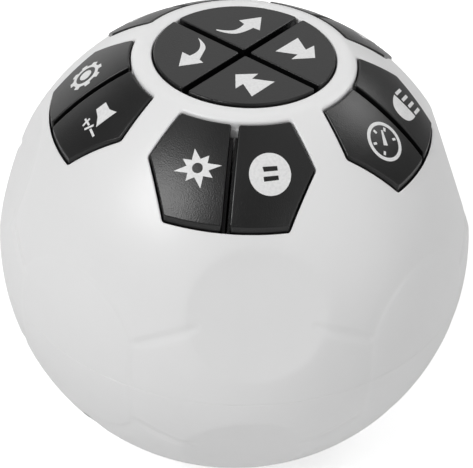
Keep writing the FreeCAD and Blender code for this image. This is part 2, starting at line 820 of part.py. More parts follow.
def crystal():
    """The timing crystal, a small can lying flat on the board."""
    half = crystal_length / 2
    width = crystal_radius * crystal_shoulder_share
    shoulder = block(width, crystal_radius, -half, half, V(crystal_radius / 2, 0, 0))
    can = column(crystal_radius, -half, half).fuse(shoulder)
    can.rotate(V(), V(0, 1, 0), -90)
    can.translate(V(0, 0, -crystal_radius))
    can = can.common(block(crystal_length, 4 * crystal_radius, -2 * crystal_radius, 0))
    return hung(can, crystal_place, crystal_turn)


def capacitor():
    can = column(capacitor_radius, -capacitor_height, 0)
    lower = circles_of(can, capacitor_radius, -capacitor_height)
    return hung(can.makeFillet(capacitor_rounding, lower), capacitor_place)


def socket():
    return block(socket_length, socket_width, -socket_height, 0)


def plug():
    """The plug's part that stands out of the socket, a wall's thickness less each way."""
    bottom = -socket_height - plug_height
    return block(socket_length - plug_wall, socket_width - plug_wall, bottom, -socket_height)


def lead(points):
    """A round lead along straight runs joined by arcs, each arc as large as its shorter run allows."""
    edges = []
    radii = []
    start = points[0]
    for before, corner, after in zip(points, points[1:], points[2:]):
        back = before - corner
        ahead = after - corner
        trim = lead_bend_share * min(back.Length, ahead.Length)
        turn = math.pi - back.getAngle(ahead)
        bend = trim / math.tan(turn / 2)
        radii.append(round(bend, 1))
        back.normalize()
        ahead.normalize()
        enter = corner + back * trim
        leave = corner + ahead * trim
        towards = (back + ahead).normalize()
        centre = corner + towards * (bend / math.cos(turn / 2))
        edges.append(Part.makeLine(start, enter))
        edges.append(Part.Arc(enter, centre - towards * bend, leave).toShape())
        start = leave
    edges.append(Part.makeLine(start, points[-1]))
    first = (points[1] - points[0]).normalize()
    profile = Part.Wire(Part.makeCircle(lead_radius, points[0], first))
    tube = Part.Wire(edges).makePipeShell([profile], True, False)
    length = sum(edge.Length for edge in edges)
    share = tube.Volume / (math.pi * lead_radius ** 2 * length)
    print("lead", round(length, 1), "mm, arc radii", radii, "volume share", round(share, 4))
    return tube


def battery_leads():
    """Both leads from the contacts' tabs up to the battery plug."""
    leads = []
    for side, row in tab_places():
        start = V(side * contact_out, row, tab_top)
        end = battery_socket_place + V(side * lead_spacing / 2, 0, plug_bottom)
        leads.append(lead([start, start + V(0, 0, battery_lead_rise), end - V(0, 0, battery_lead_drop), end]))
    return Part.makeCompound(leads)


def switch_leads():
    """Both leads from the back of the power switch up to its plug."""
    leads = []
    inward = outward(switch_tilt, switch_turn).Rotation
    about = FreeCAD.Rotation(V(0, 0, 1), switch_turn)
    for side in (-1, 1):
        aside = side * lead_spacing / 2
        start = inward.multVec(V(aside, 0, switch_bottom))
        bend = inward.multVec(V(aside, 0, switch_bottom - switch_lead_run))
        end = plan(switch_socket_out, switch_turn, plug_bottom) + about.multVec(V(aside, 0, 0))
        leads.append(lead([start, bend, end - V(0, 0, switch_lead_drop), end]))
    return Part.makeCompound(leads)


parts = {
    "upper_shell": upper_shell(),
    "lower_shell": lower_shell(),
    "battery_door": battery_door(),
    "rubber_keypad": rubber_keypad(),
    "main_board": main_board(),
    "processor": processor(),
    "radio_module": radio_module(),
    "motion_sensor": motion_sensor(),
    "crystal": crystal(),
    "capacitor": capacitor(),
    "battery_socket": hung(socket(), battery_socket_place),
    "battery_plug": hung(plug(), battery_socket_place),
    "battery_leads": battery_leads(),
    "switch_socket": hung(socket(), plan(switch_socket_out, switch_turn), switch_turn),
    "switch_plug": hung(plug(), plan(switch_socket_out, switch_turn), switch_turn),
    "switch_leads": switch_leads(),
    "contact_plates": contact_plates(),
    "contact_springs": contact_springs(),
    "power_switch": power_switch(),
    "power_slider": power_slider(),
    "switch_screws": switch_screws(),
    "board_screws": board_screws(),
    "shell_screws": shell_screws(),
    "door_screw": door_screw(),
}
for index in range(cell_count):
    parts["battery_cell_%d" % (index + 1)] = battery_cell(index)
for name, turn in pair_turns.items():
    parts[name + "_pair_left_key"] = turned(pair_key(-1), turn)
    parts[name + "_pair_right_key"] = turned(pair_key(1), turn)
for index, name in enumerate(("front", "right", "rear", "left")):
    parts["crown_" + name + "_key"] = turned(crown_key(), crown_turn + 90.0 * index)

os.makedirs("parts", exist_ok=True)
for name, shape in parts.items():
    shape.translate(V(0, 0, base_depth))
    shape.exportStep("parts/" + name + ".step")
    print(name, "valid" if shape.isValid() else "BROKEN", len(shape.Solids), round(shape.Volume, 1))
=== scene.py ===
"""A ball-shaped motion controller: white shells with black keys, their printed marks, and what is inside."""

import logging
import math
from collections.abc import Iterator
from contextlib import contextmanager
from dataclasses import dataclass, field
from enum import Enum

import bmesh
import bpy
import numpy as np
from mathutils import Matrix, Vector
from mathutils.geometry import delaunay_2d_cdt


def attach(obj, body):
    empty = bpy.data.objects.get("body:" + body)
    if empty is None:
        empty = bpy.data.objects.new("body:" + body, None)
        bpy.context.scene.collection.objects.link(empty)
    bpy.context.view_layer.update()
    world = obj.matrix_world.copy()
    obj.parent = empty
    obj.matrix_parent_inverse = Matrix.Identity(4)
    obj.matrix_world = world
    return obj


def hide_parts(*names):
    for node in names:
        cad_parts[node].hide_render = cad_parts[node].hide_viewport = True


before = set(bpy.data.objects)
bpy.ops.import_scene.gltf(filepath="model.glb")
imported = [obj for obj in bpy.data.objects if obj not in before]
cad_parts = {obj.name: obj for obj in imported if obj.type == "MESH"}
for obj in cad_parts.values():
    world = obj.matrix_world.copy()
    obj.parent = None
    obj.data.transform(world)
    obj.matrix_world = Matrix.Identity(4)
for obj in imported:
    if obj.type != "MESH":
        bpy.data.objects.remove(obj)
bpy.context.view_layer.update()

MM = 0.001
BALL_RADIUS = 50 * MM
COLLAR_TILT = 24.5
BALL_CENTRE = BALL_RADIUS * math.cos(math.radians(COLLAR_TILT))
PAIR_TURNS = {"front": 0.0, "right": 72.0, "rear_right": 144.0, "rear_left": 216.0, "left": 288.0}
PAIR_INNER_TILT = 26.1
PAIR_SIDE_TILT = 38.24
PAIR_OUTER_TILT = 49.91
FILL_TOLERANCE_MM = 1e-5
LOG = logging.getLogger("controller")
Point = tuple[float, float]
Colour = tuple[float, float, float]
Stretch = tuple[float, float, float]
Loop = np.ndarray
Face = tuple[int, ...]
Socket = bpy.types.NodeSocket


def direction(tilt: float, turn: float) -> np.ndarray:
    """The unit direction at a tilt from straight up and a turn from the front, both in degrees.

    Args:
        tilt: Degrees from +Z.
        turn: Degrees from -Y towards +X.

    Returns:
        A unit vector.
    """
    lean, swing = math.radians(tilt), math.radians(turn)
    return np.array([math.sin(lean) * math.sin(swing), -math.sin(lean) * math.cos(swing), math.cos(lean)])


def sideways(turn: float) -> np.ndarray:
    """The level unit direction to the right of a turn in degrees from the front."""
    return np.array([math.cos(math.radians(turn)), math.sin(math.radians(turn)), 0])


def plan(radius: float, turn: float) -> np.ndarray:
    """A plan point by its distance from the upright axis and its turn from the front."""
    return np.array([radius * math.sin(math.radians(turn)), -radius * math.cos(math.radians(turn))])


def turn_of(point: np.ndarray) -> float:
    """A plan point's turn from the front, in radians."""
    return math.atan2(point[0], -point[1])


def ring(radius: float, points: int) -> Loop:
    """A circle about the upright axis in plan, anticlockwise."""
    angles = np.arange(points) * 2 * math.pi / points
    return radius * np.stack([np.cos(angles), np.sin(angles)], 1)


def raised(loop: Loop, height: np.ndarray | float) -> np.ndarray:
    """Plan points given their heights."""
    return np.column_stack([loop[:, 0], loop[:, 1], np.broadcast_to(height, len(loop))])


def turned(points: np.ndarray, turn: float) -> np.ndarray:
    """Plan points turned about the upright axis.

    Args:
        points: Rows of x and y, with any further columns left as they are.
        turn: Degrees, anticlockwise from above.

    Returns:
        A turned copy.
    """
    ahead, aside = math.cos(math.radians(turn)), math.sin(math.radians(turn))
    out = np.array(points, float)
    out[:, 0] = points[:, 0] * ahead - points[:, 1] * aside
    out[:, 1] = points[:, 0] * aside + points[:, 1] * ahead
    return out


def smooth_step(low: float, high: float, value: np.ndarray) -> np.ndarray:
    """A soft rise from 0 at low to 1 at high."""
    share = np.clip((value - low) / (high - low), 0.0, 1.0)
    return share * share * (3 - 2 * share)


def smooth_min(first: np.ndarray, second: np.ndarray, blend: float) -> np.ndarray:
    """The lower of two heights, rounded over where they differ by less than blend."""
    share = np.clip(0.5 + 0.5 * (second - first) / blend, 0.0, 1.0)
    return second * (1 - share) + first * share - blend * share * (1 - share)


def scene_object(name: str, data: bpy.types.ID) -> bpy.types.Object:
    """Makes an object and links it to the scene.

    Args:
        name: Its name.
        data: Its mesh, lamp or camera.

    Returns:
        The new object.
    """
    made = bpy.data.objects.new(name, data)
    bpy.context.scene.collection.objects.link(made)
    return made


@contextmanager
def opened(mesh: bpy.types.Mesh) -> Iterator[bmesh.types.BMesh]:
    """Opens a mesh for a change and writes it back.

    Args:
        mesh: The mesh.

    Yields:
        Its corners, edges and faces, open to changes.
    """
    work = bmesh.new()
    work.from_mesh(mesh)
    yield work
    work.to_mesh(mesh)
    work.free()


class Build:
    """Collects faces by their corners and makes one welded mesh object of them."""

    def __init__(self, name: str) -> None:
        """Starts an empty piece.

        Args:
            name: The piece's name.
        """
        self.name = name
        self.corners: list[Loop] = []
        self.faces: list[Face] = []
        self.count = 0

    def add(self, corners: np.ndarray, faces: list[Face]) -> None:
        """Adds faces.

        Args:
            corners: Rows of x, y and z in metres.
            faces: Corner indices of each face, anticlockwise from outside.
        """
        self.corners.append(np.asarray(corners, float))
        self.faces += [tuple(i + self.count for i in f) for f in faces]
        self.count += len(corners)

    def loft(self, loops: list[Loop]) -> None:
        """Adds quads between closed loops, facing out where anticlockwise loops follow each other upwards.

        Args:
            loops: Loops in three dimensions, with as many corners each.
        """
        size = len(loops[0])
        faces = []
        for k in range(len(loops) - 1):
            for i in range(size):
                j = (i + 1) % size
                faces.append((k * size + i, k * size + j, (k + 1) * size + j, (k + 1) * size + i))
        self.add(np.vstack(loops), faces)

    def lift(self, height: float) -> None:
        """Moves everything up by a height."""
        self.corners = [corners + np.array([0, 0, height]) for corners in self.corners]

    def finish(self, weld: float = 0.002 * MM, smooth: bool = True) -> bpy.types.Object:
        """Makes the object.

        Args:
            weld: Corners nearer than this become one.
            smooth: Whether it is shaded smooth but for its sharp edges.

        Returns:
            The new object, linked to the scene.
        """
        mesh = bpy.data.meshes.new(self.name)
        mesh.from_pydata([tuple(p) for p in np.vstack(self.corners)], [], self.faces)
        with opened(mesh) as work:
            bmesh.ops.remove_doubles(work, verts=work.verts, dist=weld)
            bmesh.ops.recalc_face_normals(work, faces=work.faces)
        piece = scene_object(self.name, mesh)
        return smoothed(piece) if smooth else piece

    def closed(self, loops: list[Loop], lift: float) -> bpy.types.Object:
        """Closes a loft at both ends, lifts it and makes it an object.

        Args:
            loops: The loft's loops; its first and its last become faces.
            lift: How far it is lifted.

        Returns:
            The closed object.
        """
        size = len(loops[0])
        self.loft(loops)
        self.add(loops[0], [tuple(range(size))[::-1]])
        self.add(loops[-1], [tuple(range(size))])
        self.lift(lift)
        return self.finish()


def smoothed(piece: bpy.types.Object, angle: float = 32.0) -> bpy.types.Object:
    """Shades a piece smooth except over edges sharper than an angle in degrees.

    Args:
        piece: A mesh object.
        angle: The sharpest edge that is still shaded smooth.

    Returns:
        The same object.
    """
    piece.data.shade_smooth()
    piece.data.set_sharp_from_angle(angle=math.radians(angle))
    return piece


def inside(points: np.ndarray, loop: Loop) -> np.ndarray:
    """Which plan points lie inside a closed loop.

    Args:
        points: Rows of x and y.
        loop: The loop's corners in order.

    Returns:
        One truth value for each point.
    """
    x, y = points[:, 0][:, None], points[:, 1][:, None]
    ax, ay = loop[:, 0][None], loop[:, 1][None]
    bx, by = np.roll(loop[:, 0], -1)[None], np.roll(loop[:, 1], -1)[None]
    crosses = (ay > y) != (by > y)
    rise = np.where(by == ay, 1.0, by - ay)
    return (crosses & (x < (bx - ax) * (y - ay) / rise + ax)).sum(1) % 2 == 1


def near(points: np.ndarray, loop: Loop, reach: float) -> np.ndarray:
    """Which plan points lie within reach of a loop's corners."""
    far = ((points[:, None] - loop[None, :, :2]) ** 2).sum(2).min(1)
    return far < reach * reach


def fill(
    outer: Loop, holes: list[Loop], spacing: float, creases: tuple[Loop, ...] = (), margin: float = 0.62
) -> tuple[np.ndarray, list[Face]]:
    """Even triangles between an outer loop and holes in plan.

    Args:
        outer: The outer loop's corners.
        holes: The loops left open.
        spacing: The triangles' usual side.
        creases: Further closed loops that no triangle's side crosses.
        margin: How near the loops a corner may lie, as a share of the spacing.

    Returns:
        Plan points, and triangles anticlockwise from above.
    """
    low, high = outer[:, :2].min(0), outer[:, :2].max(0)
    rows = np.arange(low[1], high[1], spacing * math.sqrt(3) / 2)
    grid = []
    for k, y in enumerate(rows):
        xs = np.arange(low[0] + spacing / 2 * (k % 2), high[0], spacing)
        grid.append(np.stack([xs, np.full(len(xs), y)], 1))
    inner = np.vstack(grid)
    inner = inner[inside(inner, outer)]
    for loop in [outer, *holes, *creases]:
        inner = inner[~near(inner, loop, spacing * margin)]
    for loop in holes:
        inner = inner[~inside(inner, loop)]
    points, edges, start = [], [], 0
    for loop in [outer, *holes, *creases]:
        size = len(loop)
        points.append(loop[:, :2])
        edges += [(start + i, start + (i + 1) % size) for i in range(size)]
        start += size
    corners = [Vector(p) for p in np.vstack(points + [inner]) / MM]
    verts, _, faces, _, _, _ = delaunay_2d_cdt(corners, edges, [], 0, FILL_TOLERANCE_MM)
    made = np.array([tuple(v) for v in verts]) * MM
    faces = np.array([f[:3] for f in faces])
    middle = made[faces].mean(1)
    keep = inside(middle, outer)
    for loop in holes:
        keep &= ~inside(middle, loop)
    return made, [tuple(f) for f in faces[keep]]


class Tree:
    """A node tree, with short ways to add nodes and to link them."""

    def __init__(self, tree: bpy.types.NodeTree) -> None:
        """Takes the tree in hand."""
        self.tree = tree

    def add(self, kind: str, **values: float | tuple[float, ...]) -> bpy.types.Node:
        """Adds a node.

        Args:
            kind: Its type, without the word ShaderNode in front.
            values: Its sockets' values by name, with _ for each space.

        Returns:
            The node.
        """
        node = self.tree.nodes.new("ShaderNode" + kind)
        for name, value in values.items():
            node.inputs[name.replace("_", " ")].default_value = value
        return node

    def link(self, source: Socket, target: Socket) -> None:
        """Feeds a socket from another."""
        self.tree.links.new(source, target)


class Graph(Tree):
    """A material's node graph around one glossy or matt surface shader."""

    def __init__(self, name: str) -> None:
        """Starts a material with a surface shader and its output.

        Args:
            name: The material's name.
        """
        self.material = bpy.data.materials.new(name)
        self.material.use_nodes = True
        super().__init__(self.material.node_tree)
        self.tree.nodes.clear()
        self.surface = self.add("BsdfPrincipled")
        self.link(self.surface.outputs["BSDF"], self.add("OutputMaterial").inputs["Surface"])
        self.place = self.add("TexCoord").outputs["Object"]

    def noise(self, size: float, detail: float = 3.0, stretch: Stretch = (1, 1, 1)) -> Socket:
        """A cloudy pattern in the object's own space.

        Args:
            size: The usual size of its blotches in metres.
            detail: How many finer layers it has.
            stretch: How much finer it is along each axis.

        Returns:
            The pattern's strength socket.
        """
        scaled = self.add("Mapping", Scale=tuple(s / size for s in stretch))
        self.link(self.place, scaled.inputs["Vector"])
        node = self.add("TexNoise", Scale=1.0, Detail=detail)
        self.link(scaled.outputs["Vector"], node.inputs["Vector"])
        return node.outputs["Fac"]

    def cells(self, size: float) -> Socket:
        """A pattern of rounded grains.

        Args:
            size: The usual width of a grain in metres.

        Returns:
            The distance-from-centre socket.
        """
        node = self.add("TexVoronoi", Scale=1.0 / size)
        node.feature = "SMOOTH_F1"
        self.link(self.place, node.inputs["Vector"])
        return node.outputs["Distance"]

    def between(
        self, source: Socket, low: float, high: float, reach: Point = (0.0, 1.0), soft: bool = False
    ) -> Socket:
        """Maps a pattern to a number.

        Args:
            source: The pattern's socket.
            low: The number at the pattern's start.
            high: The number at its end.
            reach: The strengths that give the low number and the high one.
            soft: Whether it eases in and out.

        Returns:
            The number's socket.
        """
        node = self.add("MapRange", From_Min=reach[0], From_Max=reach[1], To_Min=low, To_Max=high)
        node.interpolation_type = "SMOOTHSTEP" if soft else "LINEAR"
        self.link(source, node.inputs["Value"])
        return node.outputs["Result"]

    def colours(self, source: Socket, first: Colour, second: Colour, reach: Point = (0.3, 0.7)) -> None:
        """Colours the surface by a pattern.

        Args:
            source: The pattern's socket.
            first: The colour where the pattern is weak.
            second: The colour where it is strong.
            reach: The strengths that give the first colour and the second.
        """
        node = self.add("ValToRGB")
        for stop, place, colour in zip(node.color_ramp.elements, reach, (first, second)):
            stop.position, stop.color = place, (*colour, 1.0)
        self.link(source, node.inputs["Fac"])
        self.link(node.outputs["Color"], self.surface.inputs["Base Color"])

    def roughness(self, source: Socket, low: float, high: float) -> None:
        """Makes the surface smoother and rougher by a pattern."""
        self.link(self.between(source, low, high), self.surface.inputs["Roughness"])

    def bump(self, source: Socket, height: float) -> None:
        """Raises the surface by a pattern.

        Args:
            source: The pattern's socket.
            height: How far it rises at most, in metres.
        """
        node = self.add("Bump", Strength=1.0, Distance=height)
        self.link(source, node.inputs["Height"])
        self.link(node.outputs["Normal"], self.surface.inputs["Normal"])

    def set(self, name: str, value: float) -> None:
        """Sets one of the surface's constants."""
        self.surface.inputs[name].default_value = value


def shade(colour: Colour, share: float) -> Colour:
    """The colour made lighter or darker by a share."""
    return tuple(min(1.0, c * share) for c in colour)


@dataclass(frozen=True)
class MouldedPlastic:
    """Plastic with a moulded skin: faint cloudiness, a fine grain and uneven gloss."""

    name: str
    colour: Colour
    roughness: float
    grain: float
    grain_height: float
    cloud: float = 14 * MM
    cloudiness: float = 0.03
    speck: float = 2.8 * MM
    gloss_change: float = 0.03

    def material(self) -> bpy.types.Material:
        """Builds the material.

        Returns:
            The new material.
        """
        graph = Graph(self.name)
        dark, light = shade(self.colour, 1 - self.cloudiness), shade(self.colour, 1 + self.cloudiness)
        graph.colours(graph.noise(self.cloud), dark, light)
        smoother, rougher = self.roughness - self.gloss_change, self.roughness + self.gloss_change
        graph.roughness(graph.noise(self.speck, 4), smoother, rougher)
        graph.bump(graph.cells(self.grain), self.grain_height)
        return graph.material


@dataclass(frozen=True)
class Metal:
    """Drawn or plated metal with fine lines and uneven tarnish."""

    name: str
    colour: Colour
    roughness: float
    line: float = 0.12 * MM
    stretch: Stretch = (1, 1, 12)
    line_height: float = 0.004 * MM
    tarnish: float = 3 * MM
    tarnish_shade: float = 0.82
    tarnish_reach: Point = (0.3, 0.75)
    gloss_change: float = 0.25

    def material(self) -> bpy.types.Material:
        """Builds the material.

        Returns:
            The new material.
        """
        graph = Graph(self.name)
        tarnished = shade(self.colour, self.tarnish_shade)
        graph.colours(graph.noise(self.tarnish, 5), tarnished, self.colour, self.tarnish_reach)
        lines = graph.noise(self.line, 2, self.stretch)
        smoother, rougher = 1 - self.gloss_change, 1 + self.gloss_change
        graph.roughness(lines, self.roughness * smoother, self.roughness * rougher)
        graph.bump(lines, self.line_height)
        graph.set("Metallic", 1.0)
        return graph.material


@dataclass(frozen=True)
class SolderMask:
    """A board's green lacquer over its copper tracks."""

    name: str
    colour: Colour
    track: float = 2.2 * MM
    track_height: float = 0.03 * MM
    track_shade: float = 1.6
    track_reach: Point = (0.25, 0.45)
    cloud: float = 1.5 * MM
    roughness: Point = (0.25, 0.38)

    def material(self) -> bpy.types.Material:
        """Builds the material.

        Returns:
            The new material.
        """
        graph = Graph(self.name)
        tracks = graph.cells(self.track)
        graph.colours(tracks, shade(self.colour, self.track_shade), self.colour, self.track_reach)
        graph.roughness(graph.noise(self.cloud), *self.roughness)
        graph.bump(tracks, self.track_height)
        return graph.material


@dataclass(frozen=True)
class PrintedPaint:
    """White paint printed on a key, a little uneven and with the key's grain showing through."""

    name: str
    colour: Colour
    wear: float = 0.5 * MM
    wear_shade: float = 0.88
    wear_reach: Point = (0.25, 0.6)
    roughness: Point = (0.42, 0.6)
    grain: float = 0.16 * MM
    grain_height: float = 0.012 * MM

    def material(self) -> bpy.types.Material:
        """Builds the material.

        Returns:
            The new material.
        """
        graph = Graph(self.name)
        blotches = graph.noise(self.wear, 4)
        graph.colours(blotches, shade(self.colour, self.wear_shade), self.colour, self.wear_reach)
        graph.roughness(blotches, *self.roughness)
        graph.bump(graph.cells(self.grain), self.grain_height)
        return graph.material


@dataclass(frozen=True)
class CellSleeve:
    """A battery cell's printed sleeve, dark along most of its length and copper-coloured at one end."""

    name: str
    dark: Colour
    copper: Colour
    border: Point = (-11 * MM, -10.5 * MM)
    cloud: float = 2 * MM
    wrinkle: float = 0.4 * MM
    wrinkle_height: float = 0.006 * MM
    roughness: Point = (0.24, 0.34)
    metallic: float = 0.6

    def material(self) -> bpy.types.Material:
        """Builds the material.

        Returns:
            The new material.
        """
        graph = Graph(self.name)
        split = graph.add("SeparateXYZ")
        graph.link(graph.place, split.inputs["Vector"])
        band = graph.between(split.outputs["X"], 0.0, 1.0, self.border)
        graph.colours(band, self.copper, self.dark, (0.0, 1.0))
        graph.roughness(graph.noise(self.cloud), *self.roughness)
        graph.bump(graph.noise(self.wrinkle), self.wrinkle_height)
        graph.set("Metallic", self.metallic)
        return graph.material


def plastic(
    name: str, colour: Colour, roughness: float, grain: float, height: float, cloudiness: float = 0.03
) -> MouldedPlastic:
    """A moulded plastic, its grain's width and height given in millimetres."""
    return MouldedPlastic(name, colour, roughness, grain * MM, height * MM, cloudiness=cloudiness)


class Finish(Enum):
    """The finishes of all pieces."""

    WHITE_PLASTIC = plastic("glossy_white_plastic", (0.80, 0.80, 0.80), 0.34, 0.35, 0.0012, 0.008)
    BLACK_PLASTIC = plastic("grained_black_plastic", (0.003, 0.003, 0.0031), 0.30, 0.22, 0.024, 0.12)
    PRINT = PrintedPaint("printed_white_paint", (0.78, 0.78, 0.78))
    KEYPAD_RUBBER = plastic("keypad_rubber", (0.022, 0.022, 0.023), 0.72, 0.3, 0.008)
    BOARD = SolderMask("green_solder_mask", (0.012, 0.10, 0.035))
    CHIP = plastic("moulding_compound", (0.017, 0.017, 0.018), 0.62, 0.1, 0.006)
    RADIO_CAN = Metal("tinned_can", (0.62, 0.62, 0.60), 0.30)
    CRYSTAL_CAN = Metal("drawn_can", (0.66, 0.66, 0.66), 0.22, stretch=(12, 1, 1))
    CAPACITOR_SLEEVE = plastic("capacitor_sleeve", (0.012, 0.014, 0.05), 0.3, 0.5, 0.004)
    CONNECTOR = plastic("natural_nylon", (0.72, 0.69, 0.61), 0.45, 0.2, 0.004)
    RED_SHEATH = plastic("red_sheath", (0.42, 0.012, 0.012), 0.48, 0.4, 0.008, 0.1)
    BLACK_SHEATH = plastic("black_sheath", (0.018, 0.018, 0.018), 0.48, 0.4, 0.008)
    CONTACT_METAL = Metal("nickel_plate", (0.68, 0.66, 0.62), 0.28, stretch=(1, 12, 1))
    SCREW_METAL = Metal("zinc_plate", (0.55, 0.56, 0.57), 0.33, 0.3 * MM, (1, 1, 1))
    SWITCH_BODY = plastic("switch_body_plastic", (0.02, 0.02, 0.021), 0.5, 0.2, 0.006)
    CELL_SLEEVE = CellSleeve("cell_sleeve", (0.028, 0.03, 0.034), (0.50, 0.26, 0.12))

    def material(self) -> bpy.types.Material:
        """The finish's material, built the first time it is asked for."""
        return bpy.data.materials.get(self.value.name) or self.value.material()


@dataclass
class Groove:
    """One line of the shells' relief: a soft valley along a circle, with a width for each side."""

    start: np.ndarray
    end: np.ndarray
    pole: np.ndarray
    depth: float
    width_to_pole: float
    width_from_pole: float
    fade: float = 1.5 * MM

    def depths(self, points: np.ndarray, ball_radius: float) -> np.ndarray:
        """How deep the valley is at each direction.

        Args:
            points: Unit directions from the ball's centre.
            ball_radius: The ball's radius.

        Returns:
            Depths in metres.
        """
        from_pole = np.arccos(np.clip(points @ self.pole, -1, 1))
        across = (from_pole - math.acos(self.start @ self.pole)) * ball_radius
        aside = self.start - self.pole * (self.start @ self.pole)
        aside /= np.linalg.norm(aside)
        ahead = np.cross(self.pole, aside)
        length = math.atan2(self.end @ ahead, self.end @ aside) * ball_radius
        along = np.arctan2(points @ ahead, points @ aside) * ball_radius
        profile = np.where(
            across > 0,
            1 - smooth_step(0, self.width_from_pole, across),
            1 - smooth_step(0, self.width_to_pole, -across),
        )
        begun = smooth_step(-self.fade, self.fade / 2, along)
        ended = smooth_step(length - self.fade / 2, length + self.fade, along)
        return self.depth * profile * (begun * (1 - ended))


def straight(start: np.ndarray, end: np.ndarray, depth: float, widths: Point) -> Groove:
    """A groove along the shortest way on the ball between two directions.

    Args:
        start: The unit direction of its first end.
        end: The unit direction of its other end.
        depth: How deep it is.
        widths: Its widths on the side of its pole and on the other.

    Returns:
        The groove.
    """
    pole = np.cross(start, end)
    pole /= np.linalg.norm(pole)
    return Groove(start, end, pole, depth, *widths)


@dataclass
class Relief:
    """The ball's outside: round discs, creases, seams and arches, the flat crown and the flat base.

    The creases' ends are a tilt from the upright axis and a turn from their disc's, in degrees.
    """

    ball_radius: float = BALL_RADIUS
    flat_height: float = BALL_CENTRE
    flat_rounding: float = 0.3 * MM
    least_level: float = 0.2
    sides: int = 4
    turn: float = 8.8
    disc_tilt: float = 68.1
    disc_distance: float = 48.25 * MM
    disc_rounding: float = 0.3 * MM
    disc_sink: float = 0.08 * MM
    disc_wall: float = 1.3 * MM
    least_facing: float = 0.5
    crease_start: Point = (71.0, 13.5)
    crease_end: Point = (78.0, 27.2)
    crease_depth: float = 0.34 * MM
    crease_width: float = 1.7 * MM
    seam_depth: float = 0.12 * MM
    steep: float = 0.9 * MM
    gentle: float = 3.5 * MM
    arch_top_tilt: float = 66.5
    probe: float = 0.01 * MM
    height_steps: int = 5
    grooved: bool = True
    grooves: list[Groove] = field(default_factory=list)

    def __post_init__(self) -> None:
        """Lays out the grooves of the upper half; the lower half is their mirror image."""
        for k in range(self.sides if self.grooved else 0):
            self.grooves += self.side_grooves(self.turn + k * 360 / self.sides)

    def side_grooves(self, turn: float) -> list[Groove]:
        """The creases, seams and arch that start at one side's disc.

        Args:
            turn: The disc's turn in degrees.

        Returns:
            The grooves.
        """
        found = []
        for side in (-1, 1):
            start = direction(self.crease_start[0], turn + side * self.crease_start[1])
            end = direction(self.crease_end[0], turn + side * self.crease_end[1])
            low = direction(180 - self.crease_end[0], turn + side * self.crease_end[1])
            found.append(straight(start, end, self.crease_depth, (self.crease_width, self.crease_width)))
            found.append(straight(end, low, self.seam_depth, (self.steep, self.gentle)[::side]))
        start = direction(self.crease_end[0], turn + self.crease_end[1])
        top = direction(self.arch_top_tilt, turn + 180 / self.sides)
        end = direction(self.crease_end[0], turn + 360 / self.sides - self.crease_end[1])
        pole = np.cross(start - top, end - top)
        pole /= np.linalg.norm(pole) * (1 if pole[2] > 0 else -1)
        if np.cross(start, end) @ pole < 0:
            start, end = end, start
        found.append(Groove(start, end, pole, self.seam_depth, self.steep, self.gentle))
        return found

    def radius(self, points: np.ndarray) -> np.ndarray:
        """How far the surface lies from the ball's centre.

        Args:
            points: Unit directions from the ball's centre.

        Returns:
            Distances in metres.
        """
        upper = points.copy()
        upper[:, 2] = np.abs(upper[:, 2])
        reach = np.full(len(upper), self.ball_radius)
        deep = np.zeros(len(upper))
        rim = self.ball_radius * math.acos(self.disc_distance / self.ball_radius)
        for k in range(self.sides):
            facing = upper @ direction(self.disc_tilt, self.turn + k * 360 / self.sides)
            flat = self.disc_distance / np.maximum(facing, self.least_facing)
            reach = smooth_min(reach, flat, self.disc_rounding)
            out = self.ball_radius * np.arccos(np.clip(facing, -1, 1))
            deep += self.disc_sink * (1 - smooth_step(rim - self.disc_wall, rim, out)) * self.grooved
        level = np.maximum(upper[:, 2], self.least_level)
        reach = smooth_min(reach, self.flat_height / level, self.flat_rounding)
        for groove in self.grooves:
            deep = np.maximum(deep, groove.depths(upper, self.ball_radius))
        return reach - deep

    def height(self, points: np.ndarray) -> np.ndarray:
        """The upper surface's height above the ball's centre over points in plan, found by Newton's steps.

        Args:
            points: Rows of x and y.

        Returns:
            Heights in metres.
        """
        flat = (points[:, :2] ** 2).sum(1)
        z = np.sqrt(np.maximum(self.ball_radius ** 2 - flat, 0.0))

        def error(height: np.ndarray) -> np.ndarray:
            """How far a point at that height lies outside the surface."""
            whole = np.sqrt(flat + height ** 2)
            return whole - self.radius(raised(points, height) / whole[:, None])

        for _ in range(self.height_steps):
            now = error(z)
            z = z - now * self.probe / (error(z + self.probe) - now)
        return z

    def over(self, loop: Loop, way: int = 1) -> Loop:
        """Plan points given the surface's heights, in the upper half (1) or the lower (-1)."""
        return raised(loop, way * self.height(loop))


class Half(Enum):
    """Which half of the ball a shell covers."""

    UPPER = 1
    LOWER = -1


@dataclass(frozen=True)
class RoundOpening:
    """The crown's round opening in plan."""

    radius: float = 18.0 * MM
    points: int = 256

    def loop(self, grow: float = 0.0) -> Loop:
        """The outline grown outwards, anticlockwise."""
        return ring(self.radius + grow, self.points)


